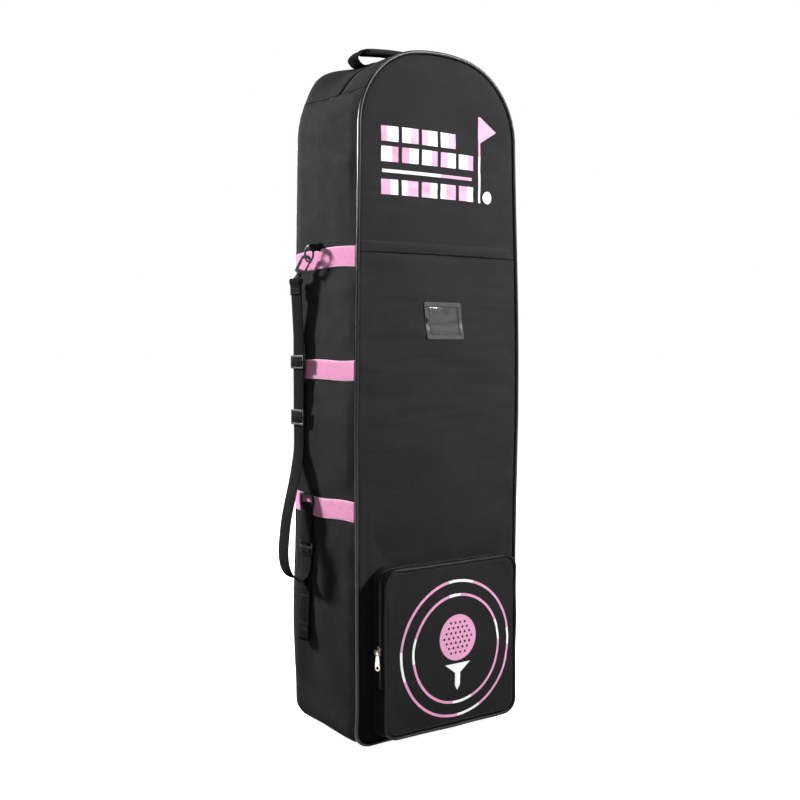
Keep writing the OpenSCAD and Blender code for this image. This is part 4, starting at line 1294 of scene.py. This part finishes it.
TAIL_Y, TAIL_W, TAIL_TOP, TAIL_END = 42, 35, 292, 170
tail_z = np.linspace(TAIL_TOP, TAIL_END, 22)
lie = np.array([side_x(TAIL_Y, z, TAIL_W / 2) for z in tail_z])
lie = np.convolve(np.pad(lie, 2, "edge"), np.ones(5) / 5, "valid")
curl = 5.0 * smoothstep(-tail_z, -215, -TAIL_END) ** 2 + 0.9 * np.sin((tail_z - 178) / 19)
tail = np.stack([lie - 2.6 - curl, TAIL_Y + 2.5 * np.sin((tail_z - 178) / 60), tail_z], 1)
plies = [strap(tail, ACROSS, TAIL_W, 1.8), strap(tail[-7:] + [-1.8, 0, 0.4], ACROSS, TAIL_W, 1.6)]
add("strap_tail_webbing", plies, SHADED_WEB, "root", "black_webbing", ("strap_tail",))
rows = [row_of(tail[k] - [out_by, 14, 0], tail[k] - [out_by, -14, 0], LEFTWARD, 3.6, 2.5)
        for k, out_by in ((3, 1.2), (6, 1.2), (-5, 2.8))]
add("strap_tail_stitching", rows, THREAD, "root")

# The loop that holds the ring of the hook
EYE = np.array([-206.0, 62.0, 874.0])
TILT = math.radians(46)
UP_HOOK, ACROSS_HOOK = (0, -math.sin(TILT), math.cos(TILT)), (0, math.cos(TILT), math.sin(TILT))


def hooked(points):
    """Points [out of the case, along the hook] of the hook's own frame, in the frame of the case."""
    p = np.asarray(points, float)
    return EYE + p[:, :1] * (1, 0, 0) + p[:, 1:] * UP_HOOK


sewn = -float(half_w(932)) - EYE[0]
loop = [(sewn - 1.6, 94), (sewn - 2.6, 89), (10, 88.2), (4, 87.6), (-2.2, 86.2), (-3.3, 84), (-2.2, 81.6),
        (0.2, 80.9), (4, 82.4), (10, 84), (sewn - 2.6, 84.5), (sewn - 1.6, 79)]
loop = strap(curve(hooked(loop), 2), ACROSS_HOOK, 15, 1.3)
add("ring_loop", [loop], SHADED_WEB, "root", "black_webbing", ("ring_tab",))

# Straps inside the back that hold the bag, with their buckles
straps, rows = [], []
for z in (430, 880):
    for sign in (-1, 1):
        xs = np.linspace(24, 118, 14)
        y = 121.6 - 1.6 * np.sin((xs - 24) / 94 * math.pi)
        straps.append(strap(np.stack([sign * xs, y, np.full(14, float(z))], 1), UPWARD, WEBBING_W, 1.8))
        for x in (98 * sign, 115 * sign):
            rows.append(row_of((x, 120, z - 16), (x, 120, z + 16), FORWARD, 3.6, 2.6))
add("inner_strap_webbing", straps, SHADED_WEB, "root", "black_webbing", ("inner_straps",))
add("inner_strap_stitching", rows, THREAD, "root")


# The carrying handle: webbing sewn to the rear half at both ends, in a stitched sleeve
HANDLE_Y, GRIP_Z, GRIP_HALF = -6, 1318, 98
HANDLE_W = 36


def roof_z(x):
    """Height of the top fabric at a distance from the middle."""
    if abs(x) < SHOULDER_X + SHOULDER_R * math.cos(math.radians(CROWN_ANGLE)):
        return CROWN_Z + math.sqrt(CROWN_R**2 - x * x)
    return SHOULDER_Z + math.sqrt(SHOULDER_R**2 - (abs(x) - SHOULDER_X) ** 2)


end_line = [(x, roof_z(x) + 2.6) for x in (72, 84, 96)]
end_line += [(106, roof_z(106) + 7.5), (114, 1292.5), (117, 1297.5), (115, 1303), (106, 1311.5), (97, 1316),
             (86, 1314.5)]
ends = [ribbon(HANDLE_Y, [(sign * x, z) for x, z in end_line], HANDLE_W, 2.2, 3) for sign in (-1, 1)]
handle = add("handle_webbing", ends, SHADED_WEB, None, "black_webbing", ("handle_strap",))
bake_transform(handle)


def grip_rise(x):
    """Height of the sleeve's middle line, which droops to its ends."""
    return GRIP_Z + 3.0 - 7.5 * (x / GRIP_HALF) ** 2


def grip_sleeve(x, n=28):
    """A soft flat tube along x, narrower at its ends and a little creased."""
    ca, sa = disc(0, 0, 1, n).T
    section = np.stack([16 * np.sign(ca) * np.abs(ca) ** 0.6, 6.4 * np.sign(sa) * np.abs(sa) ** 0.75], 1)
    size = 1 - 0.16 * (1 - smoothstep(GRIP_HALF - np.abs(x), 0, 9))
    size = size * (1 + 0.012 * plane_ripple(x, 0 * x, 26, 71))
    grid = section * size[:, None, None] + np.stack([np.full_like(x, HANDLE_Y), grip_rise(x)], 1)[:, None]
    along = np.repeat(x, n)
    verts = np.column_stack([along, grid.reshape(-1, 2)])
    last = (len(x) - 1) * n
    faces = quads(len(x), n, wrap_v=True) + [list(range(n)), list(range(last, last + n))[::-1]]
    uv = np.stack([along, np.tile(2.3 * np.arange(1, n + 1), len(x))], 1)
    piece("grip_sleeve", verts, faces, SHADED_WEB, "handle", uv, "black_webbing", ("handle_grip",))


grip_x = np.linspace(-GRIP_HALF, GRIP_HALF, 90)
grip_sleeve(grip_x)
grip_x = grip_x[4:-4]
rows = []
for way in (-1, 1):
    line = np.stack([grip_x, np.full_like(grip_x, HANDLE_Y + 11 * way), grip_rise(grip_x) + 5.3], 1)
    rows.append(stitches(line, (0, 0.35 * way, 1), 4.4, 3.0, 0.4))
add("grip_stitching", rows, THREAD, "handle")
rows = []
for x in (-76, -90, 76, 90):
    z = roof_z(x) + 4.0
    rows.append(row_of((x, HANDLE_Y - 15, z), (x, HANDLE_Y + 15, z), UPWARD, 3.6, 2.6, 0.36))
add("handle_stitching", rows, THREAD, "root")


# ---------------------------------------------------------------- hardware kept from the CAD
def finish_cad(names, material, bevel, angle=32):
    """The look of CAD nodes: their material, and edges rounded by bevel millimetres."""
    for name in names:
        obj = NODES[name]
        obj.data.materials.clear()
        obj.data.materials.append(material)
        obj.data.polygons.foreach_set("use_smooth", [True] * len(obj.data.polygons))
        modify(obj, "WELD", merge_threshold=0.00002)
        modify(obj, "BEVEL", width=bevel * MM, segments=3, limit_method="ANGLE",
               angle_limit=math.radians(angle), harden_normals=True)


finish_cad(["base_guard", "front_skid"], GUARD, 0.9)
finish_cad(["wheel_housings"], GUARD, 0.8)
finish_cad(["base_board"], BOARD, 0.4)
finish_cad(["axle_pins", "axle_nuts", "left_bearings", "right_bearings"], STEEL, 0.4)
finish_cad(["left_wheel_hub", "right_wheel_hub"], WHEEL_PLASTIC, 0.6)
finish_cad(["left_tyre", "right_tyre"], RUBBER, 0.8, 12)
finish_cad(["inner_buckles", "adjuster_buckle", "lower_ring"], HARD_BLACK, 0.9)
finish_cad(["strap_keeper"], HARD_BLACK, 0.8)
finish_cad(["strap_slider"], HARD_GREY, 0.8)
finish_cad(["upper_ring", "swivel_eye"], BLACK_METAL, 0.4)
finish_cad(["snap_hook", "hook_gate"], BLACK_METAL, 0.7)


# ---------------------------------------------------------------- zipper sliders and their pulls
PLATE = [(-3.2, 8), (3.2, 8), (4.6, 6.2), (4.3, -1), (3.1, -9), (-3.1, -9), (-4.3, -1), (-4.6, 6.2)]
BRIDGE = [(1.6, 0, -7.6), (4.6, 0, -7.2), (6.2, 0, -5.6), (6.5, 0, -3), (6.2, 0, -0.4), (4.6, 0, 1.2),
          (1.6, 0, 1.6)]
PIVOT = np.array([4.4, 0, -3.1])
PETALS, CAP_R = 6, 6.8
CAP_RISE = [(0.0, 8.9), (0.3, 8.75), (0.55, 8.3), (0.62, 7.9), (0.8, 8.1), (0.95, 7.7), (1.0, 7.2),
            (0.96, 6.7), (0.0, 6.5)]


def slab(outlines, depth):
    """A flat part from outlines [across, up], from 0 to a depth outwards."""
    p, faces = triangulate(outlines, 2.0)
    verts, all_faces, uv, _ = closed_sheet(p, faces, np.zeros(len(p)), np.full(len(p), float(depth)))
    return verts[:, [1, 0, 2]], all_faces, uv


def flower_cap():
    """The slider's cap, a low flower of rings [share of the radius, height]."""
    n = 72
    a = np.linspace(0, 2 * math.pi, n, endpoint=False)
    r = CAP_R * (0.86 + 0.14 * np.abs(np.cos(a * PETALS / 2)) ** 0.7)
    across, up = r * np.cos(a), r * np.sin(a)
    rings = [np.stack([np.full(n, h), s * across, s * up - 3.0], 1) for s, h in CAP_RISE]
    return np.concatenate(rings), quads(len(CAP_RISE), n, wrap_v=True)


def zip_hardware(name, place, turned, length, width, twist, cap, bodies, nodes):
    """A slider with its bridge, and the tab that hangs from it."""
    def set_at(v):
        v = np.asarray(v, float).copy()
        if turned:
            v[:, :2] *= -1
        return v + place

    path = curve(BRIDGE, 0.7)
    u, v = frames_along(path, ACROSS)
    bridge = sweep(path, u, v, [[-1.6, -0.5], [1.6, -0.5], [1.6, 0.5], [-1.6, 0.5]])
    parts = [slab([PLATE], 2.2), bridge] + ([flower_cap()] if cap else [])
    parts = [(set_at(p[0]), *p[1:]) for p in parts]
    slider = add(name + "_slider_metal", parts, NICKEL, bodies[0], "zip_metal", (nodes[0],), auto=38)
    r = width / 2
    foot = arc(0, r - length, r, 0, -180, 15)[:, :2]
    neck = [(-3.0, 0.9), (3.0, 0.9), (3.5, -7.0), (r - 0.2, width - length)]
    tab = [*neck, *foot, (0.2 - r, width - length), (-3.5, -7.0)]
    slot = [(-2.1, -5.4), (2.1, -5.4), (2.1, -0.7), (-2.1, -0.7)]
    eye = disc(0, r - length, width / 4 + 0.3, 20)
    verts, faces, uv = slab([tab, slot, eye], 1.5)
    verts = verts - [0.75, 0, 0]
    c, s = math.cos(math.radians(twist)), math.sin(math.radians(twist))
    verts = verts @ np.array([[c, s, 0], [-s, c, 0], [0, 0, 1]]) + PIVOT
    tab = (set_at(verts), faces, uv)
    pull = add(name + "_pull_metal", [tab], NICKEL, bodies[1], "zip_metal", (nodes[1],), auto=38)
    for obj in (slider, pull):
        modify(obj, "BEVEL", width=0.00028, segments=2, limit_method="ANGLE", angle_limit=math.radians(40))


zip_hardware("pocket", (-POCKET_HALF_W - 0.3, POCKET_ZIP_Y, 184), True, 34, 11, 20, True,
             ("pocket_slider", "pocket_pull"), ("pocket_slider", "pocket_pull"))
zip_hardware("main", (float(half_w(640)) - 1.2, ZIP_Y, 640), False, 36, 10, 0, False,
             ("main_slider", "main_pull"), ("main_zip_slider", "main_zip_pull"))
